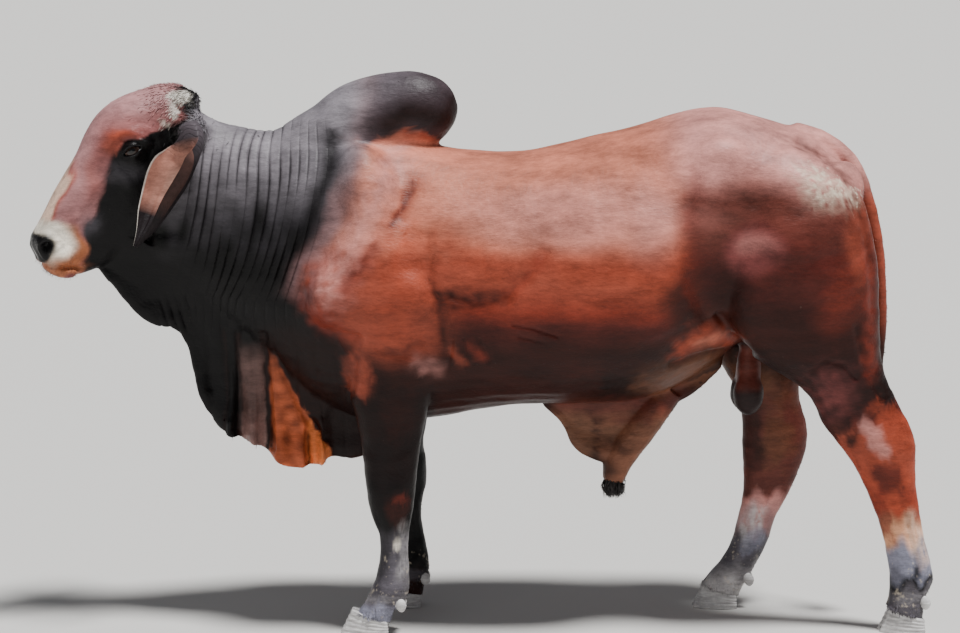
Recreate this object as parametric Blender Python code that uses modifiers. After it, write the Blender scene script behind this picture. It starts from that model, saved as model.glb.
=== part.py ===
"""A life-size standing Brahman bull, built as a museum model.

The bull faces -X, its left side is towards -Y and its soles stand on z = 0. Sizes are in metres.
The flesh is drawn as lofts between named sections, grown together into one smooth form and then
parted into the named pieces of the body with thin cuts. Eyes, ears, horn buds, hooves, dewclaws,
the free tail and its switch are pieces of their own.
"""
import math
import random

import bmesh
import bpy
from mathutils import Matrix, Vector

NAME = "brahman_bull"
GAP = 0.0004
SHIFT_X = 0.0093

# The head turns a little to the bull's left; its places are given as forward of the poll,
# to the left of its middle plane, and height above the ground.
POLL = Vector((-0.800, -0.020, 0.0))
HEAD_TURN = math.radians(18.0)

BODY_VOXEL = 0.0090
BODY_SMOOTHING = 5
BODY_TRIANGLES = 5000
HEAD_VOXEL = 0.0052
HEAD_SMOOTHING = 5
HEAD_TRIANGLES = 2000
HEAD_NECK_ROWS = 4
HEAD_DEWLAP_ROWS = 7
DEWLAP_ROOT = 0.050

SECTION_SIDES = 28
ROW_STEPS = 3

EYE_RADIUS = 0.0235
EYE_PLACE = (0.177, 0.0890, 1.300)
EYE_SIGHT = (0.30, 1.0, 0.10)
LID_THICKNESS = 0.0055
LID_OPENING = (0.0235, 0.0135)
LID_SLANT = math.radians(-24.0)

NOSTRIL_PLACE = (0.410, 0.056, 1.048)
MOUTH_HEIGHT = 0.990
MOUTH_SLOPE = math.radians(7.0)
MOUTH_LINE = 0.0040
MOUTH_SWEEP = math.radians(118.0)
MOUTH_STEPS = 24

EAR_SEAT = (0.028, 0.122, 1.345)
EAR_WALL = 0.0075
HORN_BUD_PLACE = (0.022, 0.074, 1.418)
HORN_BUD_SIZES = (0.021, 0.013, 0.018)

HOOF_TOE_HEIGHT = 0.068
HOOF_HEEL_HEIGHT = 0.036
HOOF_CLEFT = 0.0060
CLAW_SIDES = 14
DEWCLAW_RADIUS = 0.0155
DEWCLAW_HEIGHT = 0.082

# Sections of the trunk: place along the body, top, underside, half width, height of the widest
# place as a share of the depth, and how full the upper and the lower half are.
TRUNK = [
    (-0.440, 1.345, 0.600, 0.205, 0.50, 2.0, 1.9),
    (-0.340, 1.345, 0.560, 0.245, 0.50, 2.0, 1.9),
    (-0.220, 1.325, 0.555, 0.262, 0.48, 2.0, 2.0),
    (-0.100, 1.303, 0.572, 0.282, 0.45, 2.0, 2.0),
    (0.030, 1.291, 0.598, 0.306, 0.43, 2.0, 2.1),
    (0.140, 1.301, 0.604, 0.322, 0.42, 2.0, 2.1),
    (0.250, 1.327, 0.606, 0.330, 0.42, 2.0, 2.1),
    (0.360, 1.352, 0.612, 0.326, 0.44, 2.0, 2.1),
    (0.460, 1.379, 0.630, 0.312, 0.48, 2.1, 2.0),
    (0.550, 1.405, 0.672, 0.290, 0.54, 2.2, 1.9),
    (0.630, 1.410, 0.730, 0.272, 0.60, 2.3, 1.9),
    (0.710, 1.393, 0.790, 0.258, 0.60, 2.2, 1.9),
    (0.790, 1.367, 0.850, 0.236, 0.60, 2.0, 1.9),
    (0.870, 1.343, 0.910, 0.190, 0.60, 1.9, 1.9),
    (0.935, 1.290, 0.990, 0.125, 0.60, 1.8, 1.8),
    (0.965, 1.230, 1.080, 0.060, 0.55, 2.0, 2.0),
]

# Sections of the neck: crest point, throat point, place to the side, half width, widest share.
NECK = [
    (-0.800, 1.430, -0.900, 1.060, -0.042, 0.078, 0.55),
    (-0.742, 1.383, -0.850, 0.950, -0.036, 0.098, 0.50),
    (-0.672, 1.360, -0.750, 0.860, -0.024, 0.124, 0.47),
    (-0.600, 1.349, -0.655, 0.780, -0.010, 0.155, 0.45),
    (-0.530, 1.352, -0.560, 0.700, 0.000, 0.186, 0.45),
    (-0.450, 1.365, -0.465, 0.620, 0.000, 0.218, 0.46),
    (-0.350, 1.350, -0.355, 0.580, 0.000, 0.240, 0.48),
]

# Sections of the head: forehead point and jaw point, each forward and height, then the half
# width near the top and near the jaw, the widest share and how flat the front is.
HEAD = [
    (-0.012, 1.415, 0.000, 1.160, 0.062, 0.052, 0.60, 2.2),
    (0.020, 1.468, 0.022, 1.110, 0.082, 0.070, 0.62, 2.2),
    (0.078, 1.474, 0.058, 1.075, 0.098, 0.082, 0.64, 2.3),
    (0.140, 1.459, 0.098, 1.052, 0.108, 0.084, 0.66, 2.3),
    (0.200, 1.436, 0.135, 1.036, 0.110, 0.078, 0.68, 2.3),
    (0.250, 1.398, 0.170, 1.022, 0.098, 0.068, 0.68, 2.4),
    (0.284, 1.348, 0.200, 1.008, 0.084, 0.060, 0.66, 2.6),
    (0.310, 1.292, 0.228, 0.995, 0.074, 0.054, 0.66, 2.8),
    (0.342, 1.240, 0.256, 0.984, 0.067, 0.050, 0.66, 3.0),
    (0.373, 1.190, 0.285, 0.974, 0.062, 0.049, 0.62, 3.0),
    (0.397, 1.144, 0.318, 0.966, 0.062, 0.050, 0.56, 2.8),
    (0.417, 1.108, 0.352, 0.963, 0.067, 0.051, 0.52, 2.5),
    (0.434, 1.080, 0.388, 0.974, 0.062, 0.045, 0.52, 2.3),
    (0.441, 1.052, 0.414, 0.998, 0.042, 0.030, 0.52, 2.2),
]

# Rounded masses that the lofts don't draw: middle, half sizes and turn about the Y axis.
HUMP = [
    ((-0.218, 0.0, 1.398), (0.140, 0.092, 0.110), -8.0),
    ((-0.325, 0.0, 1.362), (0.148, 0.102, 0.126), -12.0),
    ((-0.420, 0.0, 1.305), (0.110, 0.112, 0.120), -28.0),
]
SHOULDER = [
    ((-0.290, 0.135, 1.080), (0.110, 0.108, 0.250), -16.0),
    ((-0.385, 0.185, 0.920), (0.105, 0.105, 0.105), 0.0),
    ((-0.225, 0.200, 0.910), (0.135, 0.095, 0.120), 20.0),
]
RUMP = [
    ((0.610, 0.190, 1.285), (0.085, 0.060, 0.060), 0.0),
    ((0.800, 0.150, 1.180), (0.190, 0.115, 0.130), 18.0),
    ((0.945, 0.100, 1.190), (0.062, 0.052, 0.080), 0.0),
]

# Sections of a limb: height, front edge, rear edge, place to the side and half width.
FORE_NEAR = [
    (1.120, -0.400, -0.150, 0.150, 0.095),
    (1.020, -0.450, -0.125, 0.165, 0.115),
    (0.920, -0.470, -0.118, 0.175, 0.118),
    (0.850, -0.452, -0.114, 0.175, 0.110),
    (0.795, -0.405, -0.114, 0.172, 0.094),
    (0.735, -0.376, -0.122, 0.170, 0.080),
    (0.656, -0.374, -0.150, 0.168, 0.066),
    (0.590, -0.357, -0.165, 0.168, 0.058),
    (0.529, -0.343, -0.177, 0.168, 0.052),
    (0.467, -0.333, -0.186, 0.168, 0.050),
    (0.415, -0.328, -0.193, 0.168, 0.054),
    (0.360, -0.322, -0.198, 0.168, 0.053),
    (0.312, -0.311, -0.204, 0.168, 0.044),
    (0.270, -0.294, -0.211, 0.168, 0.035),
    (0.215, -0.292, -0.214, 0.168, 0.033),
    (0.160, -0.303, -0.212, 0.168, 0.038),
    (0.122, -0.318, -0.212, 0.168, 0.046),
    (0.090, -0.334, -0.222, 0.168, 0.046),
    (0.060, -0.354, -0.250, 0.168, 0.049),
    (0.010, -0.378, -0.264, 0.168, 0.050),
]
FORE_FAR = [
    (1.120, -0.400, -0.150, 0.150, 0.095),
    (1.020, -0.450, -0.125, 0.165, 0.115),
    (0.920, -0.470, -0.118, 0.175, 0.118),
    (0.850, -0.452, -0.112, 0.175, 0.110),
    (0.795, -0.400, -0.110, 0.172, 0.094),
    (0.735, -0.368, -0.114, 0.170, 0.080),
    (0.656, -0.356, -0.138, 0.165, 0.066),
    (0.590, -0.340, -0.156, 0.162, 0.058),
    (0.529, -0.326, -0.168, 0.160, 0.052),
    (0.467, -0.312, -0.178, 0.160, 0.050),
    (0.415, -0.304, -0.172, 0.160, 0.054),
    (0.360, -0.296, -0.172, 0.160, 0.053),
    (0.312, -0.284, -0.180, 0.160, 0.044),
    (0.270, -0.266, -0.184, 0.160, 0.035),
    (0.215, -0.254, -0.178, 0.160, 0.033),
    (0.160, -0.256, -0.168, 0.160, 0.038),
    (0.122, -0.264, -0.163, 0.160, 0.046),
    (0.090, -0.274, -0.166, 0.160, 0.046),
    (0.060, -0.282, -0.176, 0.160, 0.049),
    (0.010, -0.298, -0.184, 0.160, 0.050),
]
HIND_NEAR = [
    (1.270, 0.640, 0.940, 0.120, 0.100),
    (1.180, 0.615, 0.995, 0.145, 0.120),
    (1.080, 0.605, 1.022, 0.158, 0.130),
    (0.980, 0.606, 1.038, 0.162, 0.128),
    (0.890, 0.618, 1.042, 0.162, 0.120),
    (0.810, 0.650, 1.046, 0.158, 0.104),
    (0.745, 0.712, 1.054, 0.152, 0.088),
    (0.700, 0.785, 1.066, 0.148, 0.076),
    (0.655, 0.850, 1.086, 0.145, 0.064),
    (0.610, 0.880, 1.108, 0.142, 0.054),
    (0.565, 0.900, 1.134, 0.140, 0.049),
    (0.525, 0.930, 1.148, 0.140, 0.048),
    (0.480, 0.964, 1.151, 0.140, 0.047),
    (0.430, 0.996, 1.150, 0.140, 0.042),
    (0.372, 1.024, 1.156, 0.140, 0.036),
    (0.310, 1.050, 1.168, 0.140, 0.034),
    (0.250, 1.068, 1.180, 0.140, 0.035),
    (0.190, 1.081, 1.196, 0.140, 0.040),
    (0.140, 1.086, 1.204, 0.140, 0.046),
    (0.095, 1.082, 1.186, 0.140, 0.046),
    (0.060, 1.072, 1.180, 0.140, 0.050),
    (0.010, 1.056, 1.176, 0.140, 0.052),
]
HIND_FAR = [
    (1.270, 0.630, 0.940, 0.120, 0.100),
    (1.180, 0.600, 0.985, 0.145, 0.120),
    (1.080, 0.580, 0.998, 0.158, 0.130),
    (0.980, 0.568, 0.990, 0.162, 0.128),
    (0.890, 0.566, 0.968, 0.162, 0.120),
    (0.810, 0.582, 0.936, 0.158, 0.104),
    (0.745, 0.612, 0.906, 0.155, 0.088),
    (0.700, 0.640, 0.886, 0.152, 0.076),
    (0.655, 0.668, 0.872, 0.150, 0.064),
    (0.610, 0.690, 0.868, 0.150, 0.055),
    (0.565, 0.704, 0.876, 0.150, 0.050),
    (0.525, 0.709, 0.888, 0.150, 0.048),
    (0.480, 0.709, 0.893, 0.150, 0.047),
    (0.430, 0.710, 0.886, 0.150, 0.043),
    (0.372, 0.712, 0.864, 0.150, 0.038),
    (0.310, 0.710, 0.836, 0.150, 0.035),
    (0.250, 0.698, 0.806, 0.150, 0.034),
    (0.190, 0.682, 0.786, 0.150, 0.036),
    (0.140, 0.656, 0.764, 0.150, 0.044),
    (0.095, 0.620, 0.742, 0.150, 0.047),
    (0.060, 0.596, 0.720, 0.150, 0.050),
    (0.010, 0.574, 0.696, 0.150, 0.052),
]
SOLES = {
    "fore_left": (-0.3340, -0.168, 0.134),
    "fore_right": (-0.2530, 0.160, 0.134),
    "hind_left": (1.1180, -0.140, 0.128),
    "hind_right": (0.6360, 0.150, 0.128),
}
LIMB_ROWS = {"fore_left": FORE_NEAR, "fore_right": FORE_FAR, "hind_left": HIND_NEAR, "hind_right": HIND_FAR}

# The hanging skin from chin to brisket: root point, free edge point, each along, across and up,
# and half thickness of the edge.
DEWLAP = [
    (-1.020, -0.082, 1.022, -1.048, -0.086, 0.981, 0.020),
    (-0.985, -0.075, 1.060, -1.004, -0.078, 0.917, 0.018),
    (-0.930, -0.065, 1.060, -0.952, -0.068, 0.850, 0.016),
    (-0.870, -0.055, 1.020, -0.897, -0.055, 0.815, 0.016),
    (-0.820, -0.045, 0.960, -0.847, -0.050, 0.808, 0.016),
    (-0.785, -0.040, 0.920, -0.821, -0.038, 0.757, 0.014),
    (-0.760, -0.034, 0.890, -0.806, -0.028, 0.690, 0.013),
    (-0.735, -0.028, 0.870, -0.786, -0.044, 0.615, 0.013),
    (-0.710, -0.024, 0.850, -0.746, -0.018, 0.546, 0.014),
    (-0.685, -0.020, 0.830, -0.706, -0.050, 0.511, 0.015),
    (-0.660, -0.016, 0.800, -0.672, -0.008, 0.501, 0.014),
    (-0.635, -0.012, 0.780, -0.640, -0.054, 0.489, 0.015),
    (-0.610, -0.010, 0.760, -0.608, -0.006, 0.472, 0.014),
    (-0.580, -0.008, 0.740, -0.572, -0.056, 0.439, 0.016),
    (-0.545, -0.004, 0.720, -0.530, -0.042, 0.427, 0.016),
    (-0.510, 0.000, 0.700, -0.495, -0.050, 0.428, 0.016),
    (-0.485, 0.000, 0.690, -0.472, -0.010, 0.431, 0.014),
    (-0.460, 0.000, 0.690, -0.448, -0.044, 0.434, 0.016),
    (-0.430, 0.000, 0.680, -0.426, -0.004, 0.453, 0.016),
    (-0.370, 0.000, 0.660, -0.370, -0.002, 0.447, 0.020),
    (-0.300, 0.000, 0.660, -0.300, 0.000, 0.470, 0.024),
    (-0.220, 0.000, 0.660, -0.210, 0.000, 0.540, 0.030),
]
# The hanging skin of the belly, from the navel to the groin, in the same way.
SHEATH = [
    (0.130, 0.000, 0.660, 0.150, 0.000, 0.592, 0.022),
    (0.190, 0.000, 0.660, 0.200, 0.000, 0.545, 0.018),
    (0.240, 0.000, 0.660, 0.232, -0.004, 0.482, 0.018),
    (0.290, 0.000, 0.660, 0.285, -0.008, 0.446, 0.020),
    (0.350, 0.000, 0.670, 0.340, -0.004, 0.440, 0.022),
    (0.410, 0.000, 0.680, 0.405, 0.000, 0.500, 0.018),
    (0.480, 0.000, 0.700, 0.480, 0.000, 0.578, 0.018),
    (0.560, 0.000, 0.730, 0.560, 0.000, 0.625, 0.022),
    (0.640, 0.000, 0.780, 0.640, 0.000, 0.700, 0.026),
]
SHEATH_TUBE = [
    (Vector((0.500, 0.0, 0.640)), 0.040),
    (Vector((0.440, 0.0, 0.560)), 0.044),
    (Vector((0.380, 0.0, 0.485)), 0.046),
    (Vector((0.352, 0.0, 0.430)), 0.040),
    (Vector((0.344, 0.0, 0.385)), 0.030),
]
SHEATH_END = 0.402
SCROTUM = [
    ((0.712, 0.004, 0.690), (0.038, 0.045, 0.080), 0.0),
    ((0.710, -0.022, 0.630), (0.043, 0.036, 0.060), 4.0),
    ((0.706, 0.028, 0.632), (0.043, 0.036, 0.058), 4.0),
]

# The tail: middle of each section and its half sizes fore and aft and to the side.
TAIL = [
    (0.820, 0.000, 1.335, 0.040, 0.052),
    (0.880, 0.000, 1.322, 0.034, 0.044),
    (0.930, -0.002, 1.297, 0.031, 0.036),
    (0.972, -0.004, 1.262, 0.028, 0.031),
    (1.003, -0.005, 1.212, 0.026, 0.028),
    (1.026, -0.004, 1.145, 0.024, 0.026),
    (1.047, -0.002, 1.065, 0.021, 0.023),
    (1.062, 0.000, 0.980, 0.019, 0.020),
    (1.069, 0.004, 0.895, 0.017, 0.018),
    (1.070, 0.008, 0.810, 0.016, 0.017),
    (1.068, 0.012, 0.735, 0.016, 0.017),
    (1.064, 0.014, 0.690, 0.018, 0.019),
]
TAIL_ROOT_STEP = 8
TAIL_PARTING_STEP = 20
SWITCH_END = 0.400
SWITCH_LOCKS = 12
TUFT_END = 0.336
TUFT_LOCKS = 6

# Where the flesh is parted, as outlines seen from the side.
HEAD_OUTLINE = [(-0.772, 1.520), (-0.790, 1.330), (-0.842, 1.160), (-0.905, 1.020), (-0.960, 0.800),
                (-1.400, 0.800), (-1.400, 1.520)]
HUMP_OUTLINE = [(-0.505, 1.385), (-0.400, 1.352), (-0.300, 1.330), (-0.180, 1.318), (-0.096, 1.302),
                (0.000, 1.400), (0.000, 1.600), (-0.505, 1.600)]
NECK_OUTLINE = [(-0.470, 1.500), (-0.500, 1.200), (-0.520, 0.950), (-0.500, 0.300), (-1.300, 0.300),
                (-1.300, 1.500)]
DEWLAP_OUTLINE = [(-0.965, 0.940), (-0.870, 0.905), (-0.780, 0.840), (-0.700, 0.765), (-0.620, 0.700),
                  (-0.545, 0.655), (-0.460, 0.622), (-0.340, 0.592), (-0.200, 0.580), (-0.190, 0.400),
                  (-0.340, 0.300), (-1.050, 0.300), (-1.050, 0.900)]
SHEATH_OUTLINE = [(0.100, 0.596), (0.250, 0.592), (0.400, 0.598), (0.520, 0.630), (0.630, 0.690),
                  (0.630, 0.300), (0.100, 0.300)]
SCROTUM_OUTLINE = [(0.640, 0.700), (0.800, 0.700), (0.800, 0.500), (0.640, 0.500)]
FORE_OUTLINE = [(-0.480, 0.690), (-0.105, 0.690), (-0.120, 0.600), (-0.148, 0.450), (-0.148, -0.100),
                (-0.480, -0.100)]
FORE_MIDDLE = 0.090
KNEE_HEIGHT = 0.450
HIND_OUTLINES = {
    "hind_left": [(0.655, 0.905), (1.150, 0.905), (1.300, -0.100), (0.700, -0.100), (0.620, 0.700)],
    "hind_right": [(0.615, 0.905), (1.150, 0.905), (1.150, -0.100), (0.500, -0.100), (0.520, 0.700)],
}
HIND_MIDDLE = 0.050
HOCK_HEIGHTS = {"hind_left": 0.570, "hind_right": 0.550}
REACH = 0.600

COLOURS = {
    "red_coat": ((0.250, 0.075, 0.035), 0.45),
    "dark_coat": ((0.030, 0.022, 0.022), 0.45),
    "head_coat": ((0.200, 0.070, 0.045), 0.50),
    "pale_skin": ((0.420, 0.220, 0.130), 0.55),
    "horn": ((0.350, 0.320, 0.290), 0.45),
    "eye": ((0.010, 0.008, 0.007), 0.08),
    "long_hair": ((0.040, 0.025, 0.020), 0.60),
}


def clear_scene():
    """Remove whatever the file holds."""
    for piece in list(bpy.data.objects):
        bpy.data.objects.remove(piece)


def collection(name):
    """A new collection in the scene."""
    group = bpy.data.collections.new(name)
    bpy.context.scene.collection.children.link(group)
    return group


def material(name):
    """A Principled material in one of the named colours."""
    colour, roughness = COLOURS[name]
    made = bpy.data.materials.new(name)
    made.use_nodes = True
    shader = made.node_tree.nodes["Principled BSDF"]
    shader.inputs["Base Color"].default_value = (*colour, 1.0)
    shader.inputs["Roughness"].default_value = roughness
    return made


def mesh_object(name, points, faces, group):
    """An object from points and faces, with its faces turned outwards."""
    mesh = bpy.data.meshes.new(name)
    mesh.from_pydata([tuple(point) for point in points], [], faces)
    work = bmesh.new()
    work.from_mesh(mesh)
    bmesh.ops.recalc_face_normals(work, faces=work.faces)
    work.to_mesh(mesh)
    work.free()
    made = bpy.data.objects.new(name, mesh)
    group.objects.link(made)
    return made


def apply_modifiers(piece):
    """Give the object the mesh that its modifiers make."""
    view = bpy.context.evaluated_depsgraph_get()
    finished = bpy.data.meshes.new_from_object(piece.evaluated_get(view))
    old = piece.data
    piece.modifiers.clear()
    piece.data = finished
    bpy.data.meshes.remove(old)


def smooth_rows(rows, steps):
    """Rows between the named ones, every number on a smooth curve through its named values."""
    rows = [tuple(row) for row in rows]
    filled = []
    for index in range(len(rows) - 1):
        before = rows[max(index - 1, 0)]
        start, end = rows[index], rows[index + 1]
        after = rows[min(index + 2, len(rows) - 1)]
        for step in range(steps):
            t = step / steps
            filled.append(tuple(
                0.5 * (2 * b + (c - a) * t + (2 * a - 5 * b + 4 * c - d) * t ** 2
                       + (3 * b - a - 3 * c + d) * t ** 3)
                for a, b, c, d in zip(before, start, end, after)))
    filled.append(rows[-1])
    return filled


def power_wave(value, power):
    """A sine or cosine made fuller by its power."""
    return math.copysign(abs(value) ** (2.0 / power), value)


def section(front, back, side, half_front, half_back, widest, full_front, full_back):
    """One closed ring between two end points, with its own width and fullness to each end."""
    middle = back.lerp(front, widest)
    ring = []
    for index in range(SECTION_SIDES):
        angle = 2 * math.pi * index / SECTION_SIDES
        along, across = math.cos(angle), math.sin(angle)
        end, full = (front, full_front) if along > 0 else (back, full_back)
        share = abs(power_wave(along, full))
        half = half_front if along > 0 else half_back
        mean = (half_front + half_back) / 2
        width = mean + (half - mean) * share
        ring.append(middle.lerp(end, share) + side * width * power_wave(across, full))
    return ring


def loft(name, rings, group):
    """A closed skin over a row of rings that all have the same number of points."""
    count = len(rings[0])
    points = [point for ring in rings for point in ring]
    faces = []
    for row in range(len(rings) - 1):
        for index in range(count):
            after = (index + 1) % count
            faces.append((row * count + index, row * count + after,
                          (row + 1) * count + after, (row + 1) * count + index))
    faces.append(tuple(range(count)))
    faces.append(tuple(range((len(rings) - 1) * count, len(rings) * count)))
    return mesh_object(name, points, faces, group)


def lobe(name, centre, half_sizes, turn, group, segments=28, rings=18):
    """A rounded mass, turned about the Y axis by so many degrees."""
    mesh = bpy.data.meshes.new(name)
    work = bmesh.new()
    bmesh.ops.create_uvsphere(work, u_segments=segments, v_segments=rings, radius=1.0)
    place = Matrix.Translation(centre) @ Matrix.Rotation(math.radians(turn), 4, "Y")
    bmesh.ops.transform(work, matrix=place @ Matrix.Diagonal((*half_sizes, 1.0)), verts=work.verts)
    work.to_mesh(mesh)
    work.free()
    made = bpy.data.objects.new(name, mesh)
    group.objects.link(made)
    return made


def head_point(forward, left, height):
    """A place on the turned head."""
    cos_turn, sin_turn = math.cos(HEAD_TURN), math.sin(HEAD_TURN)
    return Vector((POLL.x - forward * cos_turn + left * sin_turn,
                   POLL.y - forward * sin_turn - left * cos_turn, height))


def head_direction(forward, left, up):
    """A direction on the turned head, one unit long."""
    return (head_point(forward, left, up) - head_point(0.0, 0.0, 0.0)).normalized()


def trunk_form(group):
    """The barrel from the shoulders to the rump."""
    side = Vector((0.0, 1.0, 0.0))
    rings = []
    for x, top, under, half, widest, upper, lower in smooth_rows(TRUNK, ROW_STEPS):
        rings.append(section(Vector((x, 0, top)), Vector((x, 0, under)), side, half, half,
                             widest, upper, lower))
    return loft("trunk_form", rings, group)


def neck_form(rows, group):
    """The neck under its loose skin."""
    side = Vector((0.0, 1.0, 0.0))
    rings = []
    for crest_x, crest_z, throat_x, throat_z, y, half, widest in smooth_rows(rows, ROW_STEPS):
        rings.append(section(Vector((crest_x, y, crest_z)), Vector((throat_x, y, throat_z)), side,
                             half, half, widest, 2.0, 2.0))
    return loft("neck_form", rings, group)


def limb_form(name, rows, sign, group):
    """One limb from its muscles to the foot."""
    side = Vector((0.0, 1.0, 0.0))
    rings = []
    for z, front, rear, y, half in smooth_rows(rows, ROW_STEPS):
        rings.append(section(Vector((front, sign * y, z)), Vector((rear, sign * y, z)), side,
                             half, half, 0.52, 2.1, 2.1))
    return loft(name, rings, group)


def skin_sheet(name, rows, root_half, group):
    """Loose skin that hangs from a root line to a rounded free edge, and folds from side to side."""
    rings = []
    for row in smooth_rows(rows, ROW_STEPS):
        root, edge, half = Vector(row[:3]), Vector(row[3:6]), row[6]
        ring = []
        for share, swell in ((0.0, 1.0), (0.35, 0.8), (0.65, 0.75), (0.86, 1.0), (0.97, 0.7)):
            middle = root.lerp(edge, share)
            middle.y = root.y + (edge.y - root.y) * share ** 1.5
            width = swell * (root_half + (half - root_half) * min(share * 1.6, 1.0))
            ring.append((middle, width))
        left = [point + Vector((0, -width, 0)) for point, width in ring]
        right = [point + Vector((0, width, 0)) for point, width in reversed(ring)]
        rings.append(left + [edge] + right)
    return loft(name, rings, group)


def tube(name, path, group):
    """A round form along points that each have a radius."""
    rings = []
    for index, (centre, radius) in enumerate(path):
        ahead = path[min(index + 1, len(path) - 1)][0] - path[max(index - 1, 0)][0]
        side = Vector((0.0, 1.0, 0.0))
        across = ahead.cross(side).normalized() * radius
        rings.append(section(centre + across, centre - across, side, radius, radius, 0.5, 2.0, 2.0))
    return loft(name, rings, group)


def head_form(group):
    """The skull, jaws and muzzle as one loft."""
    side = head_direction(0.0, -1.0, 0.0)
    rings = []
    for row in smooth_rows(HEAD, ROW_STEPS):
        top_f, top_z, jaw_f, jaw_z, top_half, jaw_half, widest, flat = row
        rings.append(section(head_point(top_f, 0, top_z), head_point(jaw_f, 0, jaw_z), side,
                             top_half, jaw_half, widest, flat, 2.2))
    return loft("head_form", rings, group)


def head_masses(group):
    """Brow, cheek, jaw, nostril and lip masses on both sides of the head, and the ear roots."""
    masses = []
    for sign in (1.0, -1.0):
        for tag, place, sizes, turn in (
                ("brow", (0.160, 0.078, 1.334), (0.050, 0.036, 0.026), 26.0),
                ("orbit", (0.176, 0.074, 1.298), (0.046, 0.038, 0.040), 30.0),
                ("cheek", (0.095, 0.060, 1.165), (0.080, 0.036, 0.085), 30.0),
                ("cheekbone", (0.205, 0.050, 1.240), (0.070, 0.034, 0.040), 50.0),
                ("nostril_wing", (0.402, 0.044, 1.060), (0.032, 0.028, 0.036), 10.0),
                ("upper_lip", (0.372, 0.036, 1.030), (0.044, 0.032, 0.036), 20.0),
                ("lower_lip", (0.362, 0.022, 0.982), (0.044, 0.028, 0.020), 14.0),
                ("poll_side", (0.030, 0.046, 1.424), (0.050, 0.038, 0.040), 10.0),
                ("ear_root", (0.024, 0.084, 1.350), (0.052, 0.056, 0.058), 0.0)):
            forward, left, height = place
            masses.append(lobe(tag, head_point(forward, sign * left, height), sizes, turn, group))
    return masses


def flesh(name, forms, voxel, smoothing, triangles):
    """Grow overlapping forms into one smooth closed surface of about so many triangles."""
    bpy.ops.object.select_all(action="DESELECT")
    for form in forms:
        form.select_set(True)
    bpy.context.view_layer.objects.active = forms[0]
    bpy.ops.object.join()
    body = bpy.context.view_layer.objects.active
    body.name = name
    remesh = body.modifiers.new("grow together", "REMESH")
    remesh.mode = "VOXEL"
    remesh.voxel_size = voxel
    relax = body.modifiers.new("relax", "SMOOTH")
    relax.factor = 0.5
    relax.iterations = smoothing
    apply_modifiers(body)
    thin = body.modifiers.new("fewer faces", "DECIMATE")
    thin.ratio = min(1.0, triangles / (2 * len(body.data.polygons)))
    thin.use_collapse_triangulate = True
    apply_modifiers(body)
    keep_largest(body)
    return body


def keep_largest(piece):
    """Keep only the largest closed surface of a mesh."""
    work = bmesh.new()
    work.from_mesh(piece.data)
    left = set(work.verts)
    groups = []
    while left:
        seed = left.pop()
        group, edge = {seed}, [seed]
        while edge:
            for link in edge.pop().link_edges:
                for vertex in link.verts:
                    if vertex in left:
                        left.discard(vertex)
                        group.add(vertex)
                        edge.append(vertex)
        groups.append(group)
    groups.sort(key=len, reverse=True)
    for group in groups[1:]:
        bmesh.ops.delete(work, geom=list(group), context="VERTS")
    work.to_mesh(piece.data)
    work.free()


def grown_outline(outline, amount):
    """The outline moved outwards by an amount, corner by corner."""
    area = sum(a[0] * b[1] - b[0] * a[1] for a, b in zip(outline, outline[1:] + outline[:1]))
    turn = 1.0 if area > 0 else -1.0
    moved = []
    for index, corner in enumerate(outline):
        point = Vector(corner)
        before = (point - Vector(outline[index - 1])).normalized()
        after = (Vector(outline[(index + 1) % len(outline)]) - point).normalized()
        out_before = Vector((before.y, -before.x)) * turn
        out_after = Vector((after.y, -after.x)) * turn
        middle = (out_before + out_after).normalized()
        moved.append(point + middle * (amount / max(middle.dot(out_before), 0.3)))
    return moved


def side_prism(name, outline, low, high, grow, group):
    """A block with an outline seen from the side, between two places across the body."""
    corners = grown_outline(outline, grow) if grow else [Vector(corner) for corner in outline]
    rings = [[Vector((corner.x, y, corner.y)) for corner in corners] for y in (low - grow, high + grow)]
    return loft(name, rings, group)


def boolean(piece, other, operation):
    """Join, cut or keep the common part with another closed object, and apply it."""
    before = piece.data.copy()
    for solver in ("MANIFOLD", "EXACT"):
        piece.data = before.copy()
        change = piece.modifiers.new(operation.lower(), "BOOLEAN")
        change.object = other
        change.operation = operation
        change.solver = solver
        apply_modifiers(piece)
        if len(piece.data.polygons) > 0:
            break
    bpy.data.meshes.remove(before)


def remove(piece):
    """Take a finished helper out of the file."""
    mesh = piece.data
    bpy.data.objects.remove(piece)
    bpy.data.meshes.remove(mesh)


def copy_piece(piece, name, group):
    """A copy with its own mesh."""
    made = piece.copy()
    made.data = piece.data.copy()
    made.name = name
    group.objects.link(made)
    return made


def part_off(body, name, outline, low, high, group, guides):
    """Take the flesh inside a block off the body as a node of its own, with a thin gap between."""
    node = copy_piece(body, name, group)
    block = side_prism(name + "_block", outline, low, high, 0.0, guides)
    boolean(node, block, "INTERSECT")
    remove(block)
    keep_largest(node)
    block = side_prism(name + "_clear", outline, low, high, GAP, guides)
    boolean(body, block, "DIFFERENCE")
    remove(block)
    return node


def plane_cutter(name, centre, out, size, group):
    """A cube of the given size that stands with one face on a plane, on the side it points to."""
    mesh = bpy.data.meshes.new(name)
    work = bmesh.new()
    bmesh.ops.create_cube(work, size=size)
    turn = out.normalized().to_track_quat("Z", "Y").to_matrix().to_4x4()
    place = Matrix.Translation(centre + out.normalized() * size / 2) @ turn
    bmesh.ops.transform(work, matrix=place, verts=work.verts)
    work.to_mesh(mesh)
    work.free()
    made = bpy.data.objects.new(name, mesh)
    group.objects.link(made)
    return made


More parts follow.
